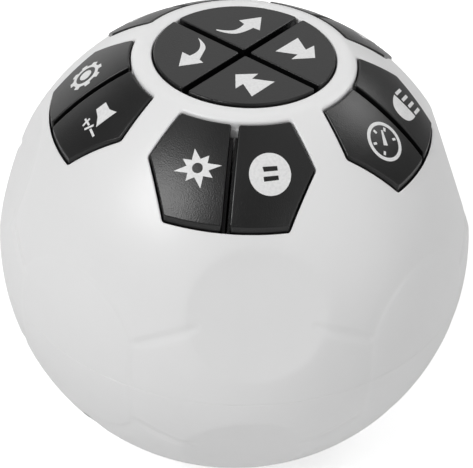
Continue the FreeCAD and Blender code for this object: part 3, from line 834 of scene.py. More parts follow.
@dataclass(frozen=True)
class PairOpening:
    """One pair's opening in plan: a hexagon whose inner and outer sides are arcs about the upright axis."""

    turn: float
    inner_radius: float = BALL_RADIUS * math.sin(math.radians(PAIR_INNER_TILT))
    inner_turn: float = 27.2
    side_radius: float = BALL_RADIUS * math.sin(math.radians(PAIR_SIDE_TILT))
    side_turn: float = 29.7
    outer_radius: float = BALL_RADIUS * math.sin(math.radians(PAIR_OUTER_TILT))
    outer_turn: float = 17.5
    corner: float = 0.8 * MM
    step: float = 0.42 * MM
    corner_steps: int = 6

    def corners(self, grow: float) -> tuple[list[np.ndarray], list[np.ndarray]]:
        """The right-hand corners of the sharp outline grown outwards, from the inner side to the outer.

        Args:
            grow: How far it is grown.

        Returns:
            The three corners, and the outward directions of the two straight sides between them.
        """
        sharp = [plan(self.inner_radius, self.inner_turn), plan(self.side_radius, self.side_turn)]
        sharp.append(plan(self.outer_radius, self.outer_turn))
        out = []
        for first, second in zip(sharp, sharp[1:]):
            along = (second - first) / np.linalg.norm(second - first)
            out.append(np.array([-along[1], along[0]]))
        middle = np.linalg.solve(np.array(out), [out[0] @ sharp[1] + grow, out[1] @ sharp[1] + grow])
        first = self.on_circle(middle, out[0], self.inner_radius - grow, -1)
        last = self.on_circle(middle, out[1], self.outer_radius + grow, 1)
        return [first, middle, last], out

    def on_circle(self, start: np.ndarray, out: np.ndarray, radius: float, way: int) -> np.ndarray:
        """Where a straight side meets a circle about the axis.

        Args:
            start: A point on the side.
            out: The side's outward direction.
            radius: The circle's radius.
            way: Whether to look inwards (-1) or outwards (1).

        Returns:
            The point.
        """
        along = way * np.array([out[1], -out[0]])
        half = start @ along
        swing = math.sqrt(half * half - start @ start + radius * radius)
        return start + along * min((-half - swing, -half + swing), key=abs)

    def loop(self, grow: float = 0.0) -> Loop:
        """The outline with its rounded corners, grown outwards.

        Args:
            grow: How far it is grown.

        Returns:
            Plan points, anticlockwise, as many for every amount of growth.
        """
        (first, middle, last), (out_a, out_b) = self.corners(-self.corner)
        reach = self.corner + grow
        inner = self.arc(self.inner_radius - grow, turn_of(first), self.inner_turn * self.inner_radius)
        outer = self.arc(self.outer_radius + grow, turn_of(last), self.outer_turn * self.outer_radius)[::-1]
        half = [inner, self.swing(first, -first, out_a, reach), self.side(first, middle, out_a, reach)]
        half += [self.swing(middle, out_a, out_b, reach), self.side(middle, last, out_b, reach)]
        half += [self.swing(last, out_b, last, reach), outer]
        right = np.vstack(half)[::-1]
        left = (right * np.array([-1, 1]))[::-1][1:-1]
        return turned(np.vstack([right, left]), self.turn)

    def arc(self, radius: float, end: float, length: float) -> Loop:
        """Points on a circle about the axis, from the front on.

        Args:
            radius: The circle's radius.
            end: The turn in radians that they stop short of.
            length: The arc's turn in degrees times its radius, which sets how many there are.

        Returns:
            Plan points.
        """
        steps = max(2, round(math.radians(length) / self.step))
        angles = np.linspace(0, end, steps, endpoint=False)
        return np.stack([radius * np.sin(angles), -radius * np.cos(angles)], 1)

    def swing(self, centre: np.ndarray, start: np.ndarray, end: np.ndarray, reach: float) -> Loop:
        """Points round a corner's centre, from one direction to another.

        Args:
            centre: The corner's centre.
            start: The first direction.
            end: The last direction.
            reach: How far from the centre they lie.

        Returns:
            Plan points.
        """
        first, last = math.atan2(start[1], start[0]), math.atan2(end[1], end[0])
        sweep = (last - first + math.pi) % (2 * math.pi) - math.pi
        angles = first + np.linspace(0, 1, self.corner_steps + 1) * sweep
        return centre + reach * np.stack([np.cos(angles), np.sin(angles)], 1)

    def side(self, start: np.ndarray, end: np.ndarray, out: np.ndarray, reach: float) -> Loop:
        """Points along a straight side, without those at its ends.

        Args:
            start: The centre of the corner that it starts from.
            end: The next corner's centre.
            out: The side's outward direction.
            reach: How far out from the centres they lie.

        Returns:
            Plan points.
        """
        steps = max(2, round(float(np.linalg.norm(end - start)) / self.step))
        share = np.linspace(0, 1, steps + 1)[1:-1, None]
        return start + (end - start) * share + out * reach


class Keep(Enum):
    """Which part of a piece a tool leaves."""

    INSIDE = "INTERSECT"
    OUTSIDE = "DIFFERENCE"


def cut(piece: bpy.types.Object, tool: bpy.types.Object, keep: Keep) -> None:
    """Cuts a piece with a tool, which is then deleted.

    Args:
        piece: The closed mesh object that changes.
        tool: The closed mesh object that cuts it.
        keep: Which part is kept.
    """
    change = piece.modifiers.new("cut", "BOOLEAN")
    change.operation, change.object, change.solver = keep.value, tool, "EXACT"
    made = bpy.data.meshes.new_from_object(piece.evaluated_get(bpy.context.evaluated_depsgraph_get()))
    piece.modifiers.clear()
    piece.data = made
    bpy.data.objects.remove(tool)


def welded_copy(node: str, name: str, weld: float = 0.001 * MM) -> bpy.types.Object:
    """A new object with a copy of a CAD node's mesh, its doubled corners made one.

    Args:
        node: The CAD node.
        name: The new object's name.
        weld: Corners nearer than this become one.

    Returns:
        The new object.
    """
    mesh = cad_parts[node].data.copy()
    with opened(mesh) as work:
        bmesh.ops.remove_doubles(work, verts=work.verts, dist=weld)
    return scene_object(name, mesh)


def joined(piece: bpy.types.Object, other: bpy.types.Object) -> bpy.types.Object:
    """Adds another object's faces to a piece and deletes the other.

    Args:
        piece: The object that is kept.
        other: The object whose faces it takes.

    Returns:
        The kept object.
    """
    with opened(piece.data) as work:
        work.from_mesh(other.data)
    bpy.data.objects.remove(other)
    return piece


@dataclass
class Shell:
    """What both shells share: a fine skin, and the CAD shell's own ribs, posts and walls inside it."""

    relief: Relief
    half: Half
    name: str
    node: str
    centre: float = BALL_CENTRE
    skin: float = 1.2 * MM
    overlap: float = 0.1 * MM
    columns: int = 720
    rows: int = 84
    inner_rows: int = 12
    core_rows: int = 60
    core_columns: int = 120
    pole_gap: float = 0.001
    parting_rounding: float = 0.07 * MM
    rim_steps: int = 5

    def core(self, depth: float) -> Relief:
        """The smooth ball at a depth below the outside.

        Args:
            depth: How deep it lies.

        Returns:
            Its surface.
        """
        outer = self.relief
        return Relief(
            ball_radius=outer.ball_radius - depth,
            flat_height=outer.flat_height - depth,
            disc_distance=outer.disc_distance - depth,
            grooved=False,
        )

    def band(self, relief: Relief, rim: np.ndarray, rows: int, stop: float = 0.0) -> list[np.ndarray]:
        """Loops of a ball's surface from a rim to the equator.

        Args:
            relief: The surface.
            rim: The rim's points, one in each column.
            rows: How many steps there are.
            stop: How far from the equator the last loop stays.

        Returns:
            The loops, the rim first.
        """
        way = self.half.value
        flat = np.hypot(rim[:, 0], rim[:, 1])
        start = np.arctan2(flat, way * rim[:, 2])
        end = math.pi / 2 - stop / relief.ball_radius
        loops = [rim]
        for k in range(1, rows + 1):
            tilt = start + (end - start) * k / rows
            across = rim[:, :2] / flat[:, None] * np.sin(tilt)[:, None]
            ways = np.column_stack([across, way * np.cos(tilt)])
            loops.append(ways * relief.radius(ways)[:, None])
        return loops

    def parting(self, last: np.ndarray) -> list[np.ndarray]:
        """The rounded edge at the equator, down to the flat where the shells meet.

        Args:
            last: The band's last loop.

        Returns:
            The loops that follow it.
        """
        way, size = self.half.value, self.parting_rounding
        reach = np.hypot(last[:, 0], last[:, 1])[:, None]
        loops = []
        for angle in np.linspace(0, math.pi / 2, self.rim_steps)[1:]:
            flat = last[:, :2] / reach * (reach - size * (1 - math.cos(angle)))
            loops.append(raised(flat, way * size * (1 - math.sin(angle))))
        return loops

    def band_faces(self, build: Build, outer_rim: np.ndarray, inner_rim: np.ndarray) -> None:
        """Adds the skin's outside and inside between the rims and the equator, and the flat between them.

        Args:
            build: The mesh that takes the faces.
            outer_rim: The outside's rim.
            inner_rim: The inside's rim.
        """
        outer = self.band(self.relief, outer_rim, self.rows, self.parting_rounding)
        inner = self.band(self.core(self.skin), inner_rim, self.inner_rows)
        build.loft(outer + self.parting(outer[-1]) + inner[::-1])

    def inner_part(self) -> bpy.types.Object:
        """What lies inside the skin: the CAD shell's walls, posts and ribs, without its outside.

        Returns:
            The new object, still about the frame's origin.
        """
        part = welded_copy(self.node, self.name + "_inner")
        core = self.core(self.skin - self.overlap)
        loops = []
        for tilt in np.linspace(math.pi - self.pole_gap, self.pole_gap, self.core_rows + 1):
            ways = raised(ring(math.sin(tilt), self.core_columns), math.cos(tilt))
            loops.append(ways * core.radius(ways)[:, None])
        cut(part, Build("core").closed(loops, self.centre), Keep.INSIDE)
        return part

    def dressed(self, skin: bpy.types.Object) -> bpy.types.Object:
        """Joins the skin and the inner part into the finished piece.

        Args:
            skin: The skin, about the frame's origin.

        Returns:
            The piece, riding on the housing in place of the CAD shell.
        """
        piece = smoothed(joined(skin, self.inner_part()))
        piece.data.materials.clear()
        piece.data.materials.append(Finish.WHITE_PLASTIC.material())
        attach(piece, "housing")
        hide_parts(self.node)
        return piece


@dataclass
class UpperShell(Shell):
    """The upper shell, with the openings for the crown and for the five pairs of keys."""

    openings: tuple[RoundOpening | PairOpening, ...] = ()
    plan_radius: float = 40.45 * MM
    spacing: float = 0.5 * MM
    inner_spacing: float = 1.6 * MM
    opening_rounding: float = 0.4 * MM
    wall_step: float = 0.01 * MM
    collar_radius: float = 20.73 * MM
    collar_ring: float = 0.45 * MM
    collar_points: int = 300

    def rim(self, build: Build, opening: RoundOpening | PairOpening, inside_of: Relief) -> None:
        """Adds an opening's rounded rim and the top of its wall.

        Args:
            build: The mesh that takes the faces.
            opening: The opening.
            inside_of: The skin's inside.
        """
        size, loops = self.opening_rounding, []
        for angle in np.linspace(0, math.pi / 2, self.rim_steps + 1):
            loop = opening.loop(size - (size + self.wall_step) * math.sin(angle))
            loops.append(raised(loop, self.relief.height(loop) - size * (1 - math.cos(angle))))
        loops.append(inside_of.over(loop))
        build.loft(loops)

    def build(self) -> bpy.types.Object:
        """Builds the piece.

        Returns:
            The upper shell.
        """
        build = Build(self.name)
        inside_of = self.core(self.skin)
        edge = ring(self.plan_radius, self.columns)
        rings = tuple(ring(self.collar_radius + k * self.collar_ring, self.collar_points) for k in (-1, 0, 1))
        holes = [opening.loop(self.opening_rounding) for opening in self.openings]
        points, faces = fill(edge, holes, self.spacing, rings)
        build.add(self.relief.over(points), faces)
        holes = [opening.loop(-self.wall_step) for opening in self.openings]
        points, faces = fill(edge, holes, self.inner_spacing)
        build.add(inside_of.over(points), [f[::-1] for f in faces])
        for opening in self.openings:
            self.rim(build, opening, inside_of)
        self.band_faces(build, self.relief.over(edge), inside_of.over(edge))
        build.lift(self.centre)
        return self.dressed(build.finish())


@dataclass
class LowerShell(Shell):
    """The lower shell, with the battery door's round opening, four screw recesses and the switch's slot."""

    opening_radius: float = 30.0 * MM
    edge_rounding: float = 0.12 * MM
    recess_radius: float = 2.85 * MM
    recess_out: float = 42.4 * MM
    recess_top: float = -8.0 * MM
    recess_turns: tuple[float, ...] = (53.8, 143.8, 233.8, 323.8)
    recess_points: int = 64
    slot_tilt: float = 134.0
    slot_turn: float = 188.8
    slot_length: float = 7.1 * MM
    slot_width: float = 3.3 * MM
    slot_reach: Point = (0.8, 1.1)
    cut_step: float = 0.01 * MM

    def build(self) -> bpy.types.Object:
        """Builds the piece.

        Returns:
            The lower shell.
        """
        build = Build(self.name)
        inside_of = self.core(self.skin)
        edge = ring(self.opening_radius, self.columns)
        size = self.edge_rounding
        rim = edge * (1 + size / self.opening_radius)
        loops = [inside_of.over(edge, -1)]
        for angle in np.linspace(math.pi / 2, 0, self.rim_steps):
            loop = edge * (1 + size * (1 - math.sin(angle)) / self.opening_radius)
            loops.append(raised(loop, size * (1 - math.cos(angle)) - self.relief.height(loop)))
        build.loft(loops)
        self.band_faces(build, self.relief.over(rim, -1), loops[0])
        build.lift(self.centre)
        skin = build.finish()
        tools = self.slot()
        for turn in self.recess_turns:
            tools = joined(tools, self.recess(turn))
        cut(skin, tools, Keep.OUTSIDE)
        return self.dressed(skin)

    def recess(self, turn: float) -> bpy.types.Object:
        """The upright cylinder that cuts one screw's recess.

        Args:
            turn: The screw's turn from the front, in degrees.

        Returns:
            The tool.
        """
        place = plan(self.recess_out, turn)
        edge = ring(self.recess_radius - self.cut_step, self.recess_points) + place
        loops = [raised(edge, z) for z in (-2 * self.relief.ball_radius, self.recess_top + self.cut_step)]
        return Build("recess").closed(loops, self.centre)

    def slot(self) -> bpy.types.Object:
        """The block that cuts the switch's slot, square to the ball where the slot is.

        Returns:
            The tool.
        """
        out = direction(self.slot_tilt, self.slot_turn)
        level = sideways(self.slot_turn)
        along = level * (self.slot_length / 2 - self.cut_step)
        across = np.cross(out, level) * (self.slot_width / 2 - self.cut_step)
        corners = np.array([-along - across, along - across, along + across, -along + across])
        loops = [corners + out * self.relief.ball_radius * reach for reach in self.slot_reach]
        return Build("slot").closed(loops, self.centre)


class Bend(tuple):
    """A point that an outline rounds past instead of passing through."""


def curved(outline: tuple[Point | Bend, ...], step: float) -> Loop:
    """A closed outline through its corners, with a smooth curve wherever it meets bends.

    Args:
        outline: Corners and bends in order, in millimetres.
        step: The longest side of the result, in metres.

    Returns:
        Points in metres.
    """
    size = len(outline)
    on_line, kept = [], []
    for k, point in enumerate(outline):
        following = outline[(k + 1) % size]
        on_line.append(np.array(point, float) * MM)
        kept.append(not isinstance(point, Bend))
        if isinstance(point, Bend) and isinstance(following, Bend):
            on_line.append((np.array(point, float) + np.array(following, float)) / 2 * MM)
            kept.append(True)
    first = kept.index(True)
    on_line, kept = on_line[first:] + on_line[:first + 1], kept[first:] + [True]
    points, k = [], 0
    while k < len(on_line) - 1:
        start = on_line[k]
        bend, end = (on_line[k + 1], on_line[k + 2]) if not kept[k + 1] else (None, on_line[k + 1])
        length = np.linalg.norm(end - start)
        for t in np.linspace(0, 1, max(2, math.ceil(length / step)), endpoint=False):
            if bend is None:
                points.append(start * (1 - t) + end * t)
            else:
                points.append(start * (1 - t) ** 2 + bend * 2 * t * (1 - t) + end * t * t)
        k += 1 if bend is None else 2
    return np.array(points)


@dataclass(frozen=True)
class Blot:
    """One patch of print: an outline or a round in millimetres, and the patches left open in it."""

    outline: tuple[Point | Bend, ...] = ()
    round_at: Point | None = None
    radius: float = 0.0
    holes: tuple["Blot", ...] = ()
    tall: float = 1.0
    least_points: int = 24

    def loop(self, step: float) -> Loop:
        """The outline's points.

        Args:
            step: The furthest that two of them lie apart, in metres.

        Returns:
            Plan points in metres.
        """
        if self.round_at is None:
            return curved(self.outline, step)
        points = max(self.least_points, math.ceil(2 * math.pi * self.radius * MM / step))
        return ring(self.radius * MM, points) * (1, self.tall) + np.array(self.round_at) * MM


def bar(start: Point, end: Point, width: float, end_width: float | None = None) -> Blot:
    """A straight bar of print.

    Args:
        start: The middle of its first end, in millimetres.
        end: The middle of its other end.
        width: How wide it is.
        end_width: How wide its other end is, if not the same.

    Returns:
        The bar.
    """
    along = np.subtract(end, start) / np.hypot(*np.subtract(end, start))
    across = np.array([-along[1], along[0]]) / 2
    near_side, far_side = across * width, across * (width if end_width is None else end_width)
    corners = (start - near_side, end - far_side, end + far_side, start + near_side)
    return Blot(tuple((float(x), float(y)) for x, y in corners))


def about(centre: Point, radius: float, angle: float, tall: float = 1.0) -> Point:
    """A point at an angle in radians on a round about a centre, which may be taller than wide."""
    return centre[0] + radius * math.cos(angle), centre[1] + radius * tall * math.sin(angle)


def round_of(centre: Point, radius: float, *holes: Blot, tall: float = 1.0) -> Blot:
    """A round patch of print with holes in it."""
    return Blot(round_at=centre, radius=radius, holes=holes, tall=tall)


class Surface(Enum):
    """What kind of key top a mark is printed on."""

    CROWN = "the crown's level tops"
    PAIR = "the pairs' tops, round like the ball"


@dataclass(frozen=True)
class Mark:
    """The print on one key, laid on its top as a thin layer of paint.

    Turns and tilts are in degrees and the shift is in millimetres. Each edge of the pairs' tops is a
    tilt and a rise above the ball in millimetres.
    """

    key: str
    surface: Surface
    blots: tuple[Blot, ...]
    turn: float = 0.0
    shift: Point = (0.0, 0.0)
    centre: float = BALL_CENTRE
    crown_height: float = BALL_CENTRE + 0.5 * MM
    inner_edge: Point = (PAIR_INNER_TILT, 0.05)
    outer_edge: Point = (PAIR_OUTER_TILT, 0.62)
    middle_tilt: float = 38.5
    thickness: float = 0.05 * MM
    sunk: float = 0.06 * MM
    step: float = 0.35 * MM
    spacing: float = 0.7 * MM
    weld: float = 0.0005 * MM

    def laid(self, points: Loop, height: float) -> np.ndarray:
        """Points of the mark on the key's top.

        Args:
            points: The drawing's points in metres.
            height: How far above the top they lie.

        Returns:
            Points in the frame.
        """
        moved = points + np.array(self.shift) * MM
        if self.surface is Surface.CROWN:
            return raised(moved, self.centre + self.crown_height + height)
        out = direction(self.middle_tilt, self.turn)
        aside = sideways(self.turn)
        up = np.cross(out, aside)
        ways = out * BALL_RADIUS + moved[:, :1] * aside + moved[:, 1:] * up
        ways /= np.linalg.norm(ways, axis=1)[:, None]
        drop, radius = self.pair_top()
        level = ways[:, 2]
        reach = np.sqrt(radius ** 2 - drop ** 2 * (1 - level ** 2)) - drop * level
        return ways * (reach + height)[:, None] + np.array([0, 0, self.centre])

    def pair_top(self) -> Point:
        """Works out the round that the pairs' tops lie on.

        Returns:
            How far its middle lies below the ball's, and its radius.
        """
        ends = []
        for tilt, rise in (self.inner_edge, self.outer_edge):
            reach = BALL_RADIUS + rise * MM
            ends.append((reach * math.sin(math.radians(tilt)), reach * math.cos(math.radians(tilt))))
        (near_out, near_up), (far_out, far_up) = ends
        drop = (far_out ** 2 + far_up ** 2 - near_out ** 2 - near_up ** 2) / (2 * (near_up - far_up))
        return drop, math.hypot(near_out, near_up + drop)

    def build(self) -> bpy.types.Object:
        """Builds the piece.

        Returns:
            The mark, riding on its key.
        """
        build = Build(self.key + "_mark")
        for blot in self.blots:
            outer = blot.loop(self.step)
            holes = [hole.loop(self.step) for hole in blot.holes]
            points, faces = fill(outer, holes, self.spacing)
            build.add(self.laid(points, self.thickness), faces)
            build.add(self.laid(points, -self.sunk), [f[::-1] for f in faces])
            for loop in [outer, *holes]:
                build.loft([self.laid(loop, -self.sunk), self.laid(loop, self.thickness)])
        piece = build.finish(self.weld, smooth=False)
        piece.data.materials.append(Finish.PRINT.material())
        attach(piece, self.key)
        return piece


@dataclass
class Marks:
    """All the print on the keys: turn arrows on the crown and a sign on each key of the pairs."""

    crown_shift: Point = (0.04, -0.9)
    pair_shifts: dict[str, Point] = field(
        default_factory=lambda: {"left": (0.40, 0.08), "right": (-0.34, 0.05)}
    )

    def crown(self) -> list[Mark]:
        """The four arrows of the crown.

        Returns:
            The marks.
        """
        turn_right = Blot((
            (-6.25, 8.5), (-6.15, 8.1), Bend((-3.7, 7.05)), Bend((-0.9, 7.9)), (1.0, 10.2), (2.35, 9.45),
            (2.35, 14.55), (-2.0, 12.6), (-0.9, 11.35), Bend((-1.75, 9.1)), Bend((-4.2, 8.1)),
        ))
        turn_left = Blot((
            (-9.5, 4.7), Bend((-7.4, 2.45)), Bend((-8.15, -1.4)), (-8.45, -3.05), (-7.65, -4.0),
            (-12.1, -5.9), (-12.0, -0.85), (-10.45, -1.95), Bend((-8.9, -0.5)), Bend((-8.7, 2.9)),
        ))
        bounce = Blot((
            (5.9, 2.1), (10.0, 7.7), (11.75, 3.55), (13.3, 5.3), (13.65, 0.9), (9.1, -0.25), (10.25, 1.6),
        ))
        dive = Blot((
            (-1.2, -7.2), (3.05, -6.35), (2.0, -8.2), (6.3, -8.6), (2.4, -14.1), (0.5, -10.2), (-0.8, -11.9),
        ))
        found = {"rear": turn_right, "left": turn_left, "right": bounce, "front": dive}
        return [Mark(f"crown_{k}_key", Surface.CROWN, (v,), shift=self.crown_shift) for k, v in found.items()]

    def gear(self, centre: Point) -> tuple[Blot, ...]:
        """A gear wheel with a round middle.

        Args:
            centre: Its middle, in millimetres.

        Returns:
            Its patches.
        """
        teeth, tip, root, hole, hub = 8, 3.85, 3.15, 2.34, 1.39
        crest, foot = 0.2, 0.27
        outline = []
        for k in range(teeth):
            for share, radius in ((-foot, root), (-crest, tip), (crest, tip), (foot, root)):
                outline.append(about(centre, radius, (k + share) * 2 * math.pi / teeth))
        return (Blot(tuple(outline), holes=(round_of(centre, hole),)), round_of(centre, hub))

    def burst(self, centre: Point) -> tuple[Blot, ...]:
        """A burst of eight points, long and short in turn, with a round hole in its middle.

        Args:
            centre: Its middle, in millimetres.

        Returns:
            Its patches.
        """
        long, middling, notch, hole, lean, tall = 4.5, 3.5, 2.1, 1.0, 0.2, 0.85
        radii = (long, notch, middling, notch) * 4
        outline = [about(centre, r, 2 * math.pi * k / len(radii) + lean, tall) for k, r in enumerate(radii)]
        return (Blot(tuple(outline), holes=(round_of(centre, hole),)),)

    def dial(self, centre: Point) -> tuple[Blot, ...]:
        """A round dial with a needle and ticks.

        Args:
            centre: Its middle, in millimetres.

        Returns:
            Its patches.
        """
        x, y = centre
        rim, face, tick_start, tick_end, tick_width = 4.1, 3.4, 2.2, 3.0, 0.5
        needle = bar((x - 0.6, y - 0.6), (x + 1.6, y + 1.7), 1.0, 0.35)
        ticks = []
        for angle in map(math.radians, (-30, 30, 90, 150, 210)):
            ticks.append(bar(about(centre, tick_start, angle), about(centre, tick_end, angle), tick_width))
        return (round_of(centre, rim, round_of(centre, face)), needle, *ticks)

    def lamp(self, centre: Point) -> tuple[Blot, ...]:
        """A lamp's half disc with four rays.

        Args:
            centre: Its middle, in millimetres.

        Returns:
            Its patches.
        """
        x, y = centre
        lens = Blot(((x, y - 3.0), Bend((x - 4.2, y - 2.8)), Bend((x - 4.2, y + 2.8)), (x, y + 3.0)))
        rays = []
        for level in (y - 2.7, y - 0.9, y + 0.9, y + 2.7):
            rays.append(bar((x + 0.8, level), (x + 3.8, level - 0.5), 0.7))
        return (lens, *rays)

    def pairs(self) -> list[Mark]:
        """The signs on the ten keys of the pairs.

        Returns:
            The marks.
        """
        bars = (
            Blot(((5.95, 1.61), (8.5, 2.18), (8.3, 3.04), (5.6, 2.52))),
            Blot(((6.15, -0.23), (8.85, 0.43), (8.65, 1.28), (5.95, 0.67))),
        )
        speaker = Blot(((5.3, 1.35), (7.3, 1.1), (9.35, 0.1), (9.1, 4.95), (7.4, 3.85), (5.15, 3.65)))
        plus = Blot((
            (5.6, -1.63), (6.34, -1.56), (6.57, -2.43), (7.0, -2.33), (6.77, -1.46), (7.76, -1.36),
            (7.7, -0.92), (6.72, -1.02), (6.57, -0.44), (6.13, -0.54), (6.29, -1.12), (5.54, -1.19),
        ))
        slash, minus = bar((7.88, -2.33), (8.53, -0.24), 0.45), bar((8.8, -1.18), (10.96, -1.1), 0.5)
        found = {
            ("front", "left"): self.burst((-6.0, 1.3)),
            ("front", "right"): (round_of((7.17, 1.35), 3.88, *bars, tall=1.045),),
            ("left", "left"): self.gear((-7.13, 1.0)),
            ("left", "right"): (speaker, plus, slash, minus),
            ("right", "left"): self.dial((-6.0, -0.4)),
            ("right", "right"): self.lamp((7.3, -0.4)),
            ("rear_right", "left"): (Blot(((-9.0, -2.4), (-3.6, 0.8), (-9.0, 4.0))),),
            ("rear_right", "right"): (Blot(((4.6, -1.8), (9.8, -1.8), (9.8, 3.4), (4.6, 3.4))),),
            ("rear_left", "left"): (round_of((-7.0, 0.8), 3.6, round_of((-7.0, 0.8), 2.5)),),
            ("rear_left", "right"): (bar((4.4, -0.2), (9.9, -0.2), 1.3), bar((4.4, 2.3), (9.9, 2.3), 1.3)),
        }
        marks = []
        for (pair, side), blots in found.items():
            shift = self.pair_shifts.get(pair, (0.0, 0.0))
            marks.append(Mark(f"{pair}_pair_{side}_key", Surface.PAIR, blots, PAIR_TURNS[pair], shift))
        return marks

    def build(self) -> list[bpy.types.Object]:
        """Builds every mark."""
        return [mark.build() for mark in self.crown() + self.pairs()]


# The words in a CAD node's name that give it a finish; the first that fit count.
KINDS = (
    ("keypad", Finish.KEYPAD_RUBBER), ("_key", Finish.BLACK_PLASTIC), ("slider", Finish.BLACK_PLASTIC),
    ("screw", Finish.SCREW_METAL), ("shell", Finish.WHITE_PLASTIC), ("door", Finish.WHITE_PLASTIC),
    ("main_board", Finish.BOARD), ("processor", Finish.CHIP), ("motion_sensor", Finish.CHIP),
    ("radio", Finish.RADIO_CAN), ("crystal", Finish.CRYSTAL_CAN), ("capacitor", Finish.CAPACITOR_SLEEVE),
    ("socket", Finish.CONNECTOR), ("plug", Finish.CONNECTOR), ("battery_leads", Finish.RED_SHEATH),
    ("switch_leads", Finish.BLACK_SHEATH), ("contact", Finish.CONTACT_METAL),
    ("power_switch", Finish.SWITCH_BODY), ("cell", Finish.CELL_SLEEVE),
)


@dataclass
class Solids:
    """The nodes that keep their CAD shape: keys, slider, door and all that is inside."""

    def dress(self) -> None:
        """Gives each visible CAD node its material."""
        for name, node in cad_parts.items():
            found = self.finish_of(name).material()
            node.data.materials.clear()
            node.data.materials.append(found)
            LOG.info("dressed %s in %s", name, found.name)

    def finish_of(self, name: str) -> Finish:
        """The finish of a CAD node.

        Args:
            name: The node's name.

        Returns:
            The finish.
        """
        for words, finish in KINDS:
            if words in name:
                return finish
        raise ValueError(f"no finish for {name}")


@dataclass(frozen=True)
class Lamp:
    """One square soft lamp that faces the object, its angles in degrees and its power in watts."""

    name: str
    tilt: float
    turn: float
    size: float
    power: float
    distance: float = 0.9

    def hang(self, centre: float) -> None:
        """Hangs the lamp.

        Args:
            centre: The height on the upright axis of the point that it faces.
        """
        data = bpy.data.lights.new(self.name, "AREA")
        data.shape, data.size, data.energy = "SQUARE", self.size, self.power
        lamp = scene_object(self.name, data)
        out = Vector(direction(self.tilt, self.turn))
        lamp.location = out * self.distance + Vector((0, 0, centre))
        lamp.rotation_euler = out.to_track_quat("Z", "Y").to_euler()


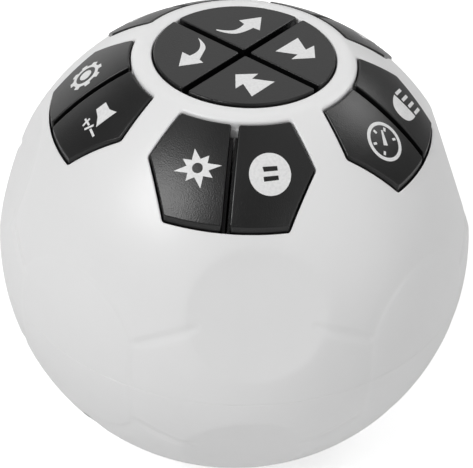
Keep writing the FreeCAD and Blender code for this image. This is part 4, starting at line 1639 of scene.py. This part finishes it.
@dataclass
class Studio:
    """The floor, the lamps, the world and the camera.

    Angles are in degrees and lengths in metres, but for the lens and the sensor, which are in
    millimetres.
    """

    centre: float = BALL_CENTRE
    distance: float = 279.98 * MM
    elevation: float = 40.05
    azimuth: float = 2.475
    roll: float = 3.252
    lens: float = 98.29
    sensor: float = 36.0
    shift: Point = (0.0045, -0.0008)
    clip: Point = (0.01, 20.0)
    floor_size: float = 6.0
    floor_colour: Colour = (0.82, 0.82, 0.82)
    floor_shade: float = 0.995
    floor_cloud: float = 0.3
    floor_speck: float = 0.1
    floor_roughness: Point = (0.75, 0.85)
    floor_lift: Point = (0.55, 1.0)
    shadow_reach: Point = (0.2, 0.7)
    room_light: float = 0.2
    reflected_white: float = 0.12
    lamps: tuple[Lamp, ...] = (
        Lamp("key_lamp", 44.5, -48.0, 0.46, 4.35),
        Lamp("high_lamp", 28.0, -78.0, 0.5, 0.5),
        Lamp("rear_lamp", 42.0, 183.0, 0.9, 1.5),
        Lamp("side_lamp", 50.0, 130.0, 0.35, 1.35),
        Lamp("left_lamp", 82.0, -142.0, 0.6, 0.8),
        Lamp("right_lamp", 66.0, 55.0, 0.8, 1.75),
        Lamp("top_lamp", 20.0, 75.0, 0.6, 0.4),
    )

    def camera(self) -> None:
        """Places the camera where the photograph was taken from."""
        roll = math.radians(self.roll)
        back, level = Vector(direction(90 - self.elevation, self.azimuth)), Vector(sideways(self.azimuth))
        up = back.cross(level)
        right = level * math.cos(roll) + up * math.sin(roll)
        top = up * math.cos(roll) - level * math.sin(roll)
        data = bpy.data.cameras.new("camera")
        data.lens, data.sensor_width = self.lens, self.sensor
        data.shift_x, data.shift_y = self.shift
        data.clip_start, data.clip_end = self.clip
        camera = scene_object("camera", data)
        place = back * self.distance + Vector((0, 0, self.centre))
        camera.matrix_world = Matrix.Translation(place) @ Matrix((right, top, back)).transposed().to_4x4()
        bpy.context.scene.camera = camera

    def floor(self) -> None:
        """Lays the floor: pale, and lit up towards white for the camera with the object's shadow kept."""
        half = self.floor_size / 2
        mesh = bpy.data.meshes.new("floor")
        corners = [(-half, -half, 0), (half, -half, 0), (half, half, 0), (-half, half, 0)]
        mesh.from_pydata(corners, [], [(0, 1, 2, 3)])
        graph = Graph("floor_paint")
        darker = shade(self.floor_colour, self.floor_shade)
        graph.colours(graph.noise(self.floor_cloud), darker, self.floor_colour)
        graph.roughness(graph.noise(self.floor_speck), *self.floor_roughness)
        graph.set("Emission Color", (1, 1, 1, 1))
        far = graph.add("VectorMath")
        far.operation = "LENGTH"
        graph.link(graph.place, far.inputs[0])
        lift = graph.add("Math")
        lift.operation = "MULTIPLY"
        level = graph.between(far.outputs["Value"], *self.floor_lift, self.shadow_reach, soft=True)
        graph.link(level, lift.inputs[1])
        graph.link(graph.add("LightPath").outputs["Is Camera Ray"], lift.inputs[0])
        graph.link(lift.outputs["Value"], graph.surface.inputs["Emission Strength"])
        mesh.materials.append(graph.material)
        floor = scene_object("floor", mesh)

    def world(self) -> None:
        """Fills the room with even light; the camera sees white, and so do reflections for a share."""
        world = bpy.data.worlds.new("room")
        world.use_nodes = True
        tree = Tree(world.node_tree)
        tree.tree.nodes.clear()
        room = tree.add("Background", Color=(1, 1, 1, 1), Strength=self.room_light)
        white = tree.add("Background", Color=(1, 1, 1, 1), Strength=1.0)
        rays = tree.add("LightPath").outputs
        through = tree.add("Math")
        through.operation = "MAXIMUM"
        tree.link(rays["Is Camera Ray"], through.inputs[0])
        tree.link(rays["Is Transmission Ray"], through.inputs[1])
        share = tree.add("Math")
        share.operation, share.use_clamp = "MULTIPLY_ADD", True
        share.inputs[1].default_value = self.reflected_white
        tree.link(rays["Is Glossy Ray"], share.inputs[0])
        tree.link(through.outputs["Value"], share.inputs[2])
        mix = tree.add("MixShader")
        tree.link(share.outputs["Value"], mix.inputs["Fac"])
        tree.link(room.outputs["Background"], mix.inputs[1])
        tree.link(white.outputs["Background"], mix.inputs[2])
        tree.link(mix.outputs["Shader"], tree.add("OutputWorld").inputs["Surface"])
        bpy.context.scene.world = world

    def build(self) -> None:
        """Sets up the whole studio."""
        self.camera()
        self.floor()
        self.world()
        for lamp in self.lamps:
            lamp.hang(self.centre)
        bpy.context.scene.view_settings.view_transform = "Standard"


def main() -> None:
    """Builds every sub-assembly in order."""
    logging.basicConfig(level=logging.INFO, format="%(message)s")
    Studio().build()
    LOG.info("set up the studio")
    Solids().dress()
    relief = Relief()
    openings = (RoundOpening(), *(PairOpening(turn) for turn in PAIR_TURNS.values()))
    upper = UpperShell(relief, Half.UPPER, "upper_shell_skin", "upper_shell", openings=openings)
    lower = LowerShell(relief, Half.LOWER, "lower_shell_skin", "lower_shell")
    for shell in (upper, lower):
        piece = shell.build()
        LOG.info("built %s with %d faces", piece.name, len(piece.data.polygons))
    for piece in Marks().build():
        LOG.info("printed %s", piece.name)


if __name__ == "__main__":
    main()
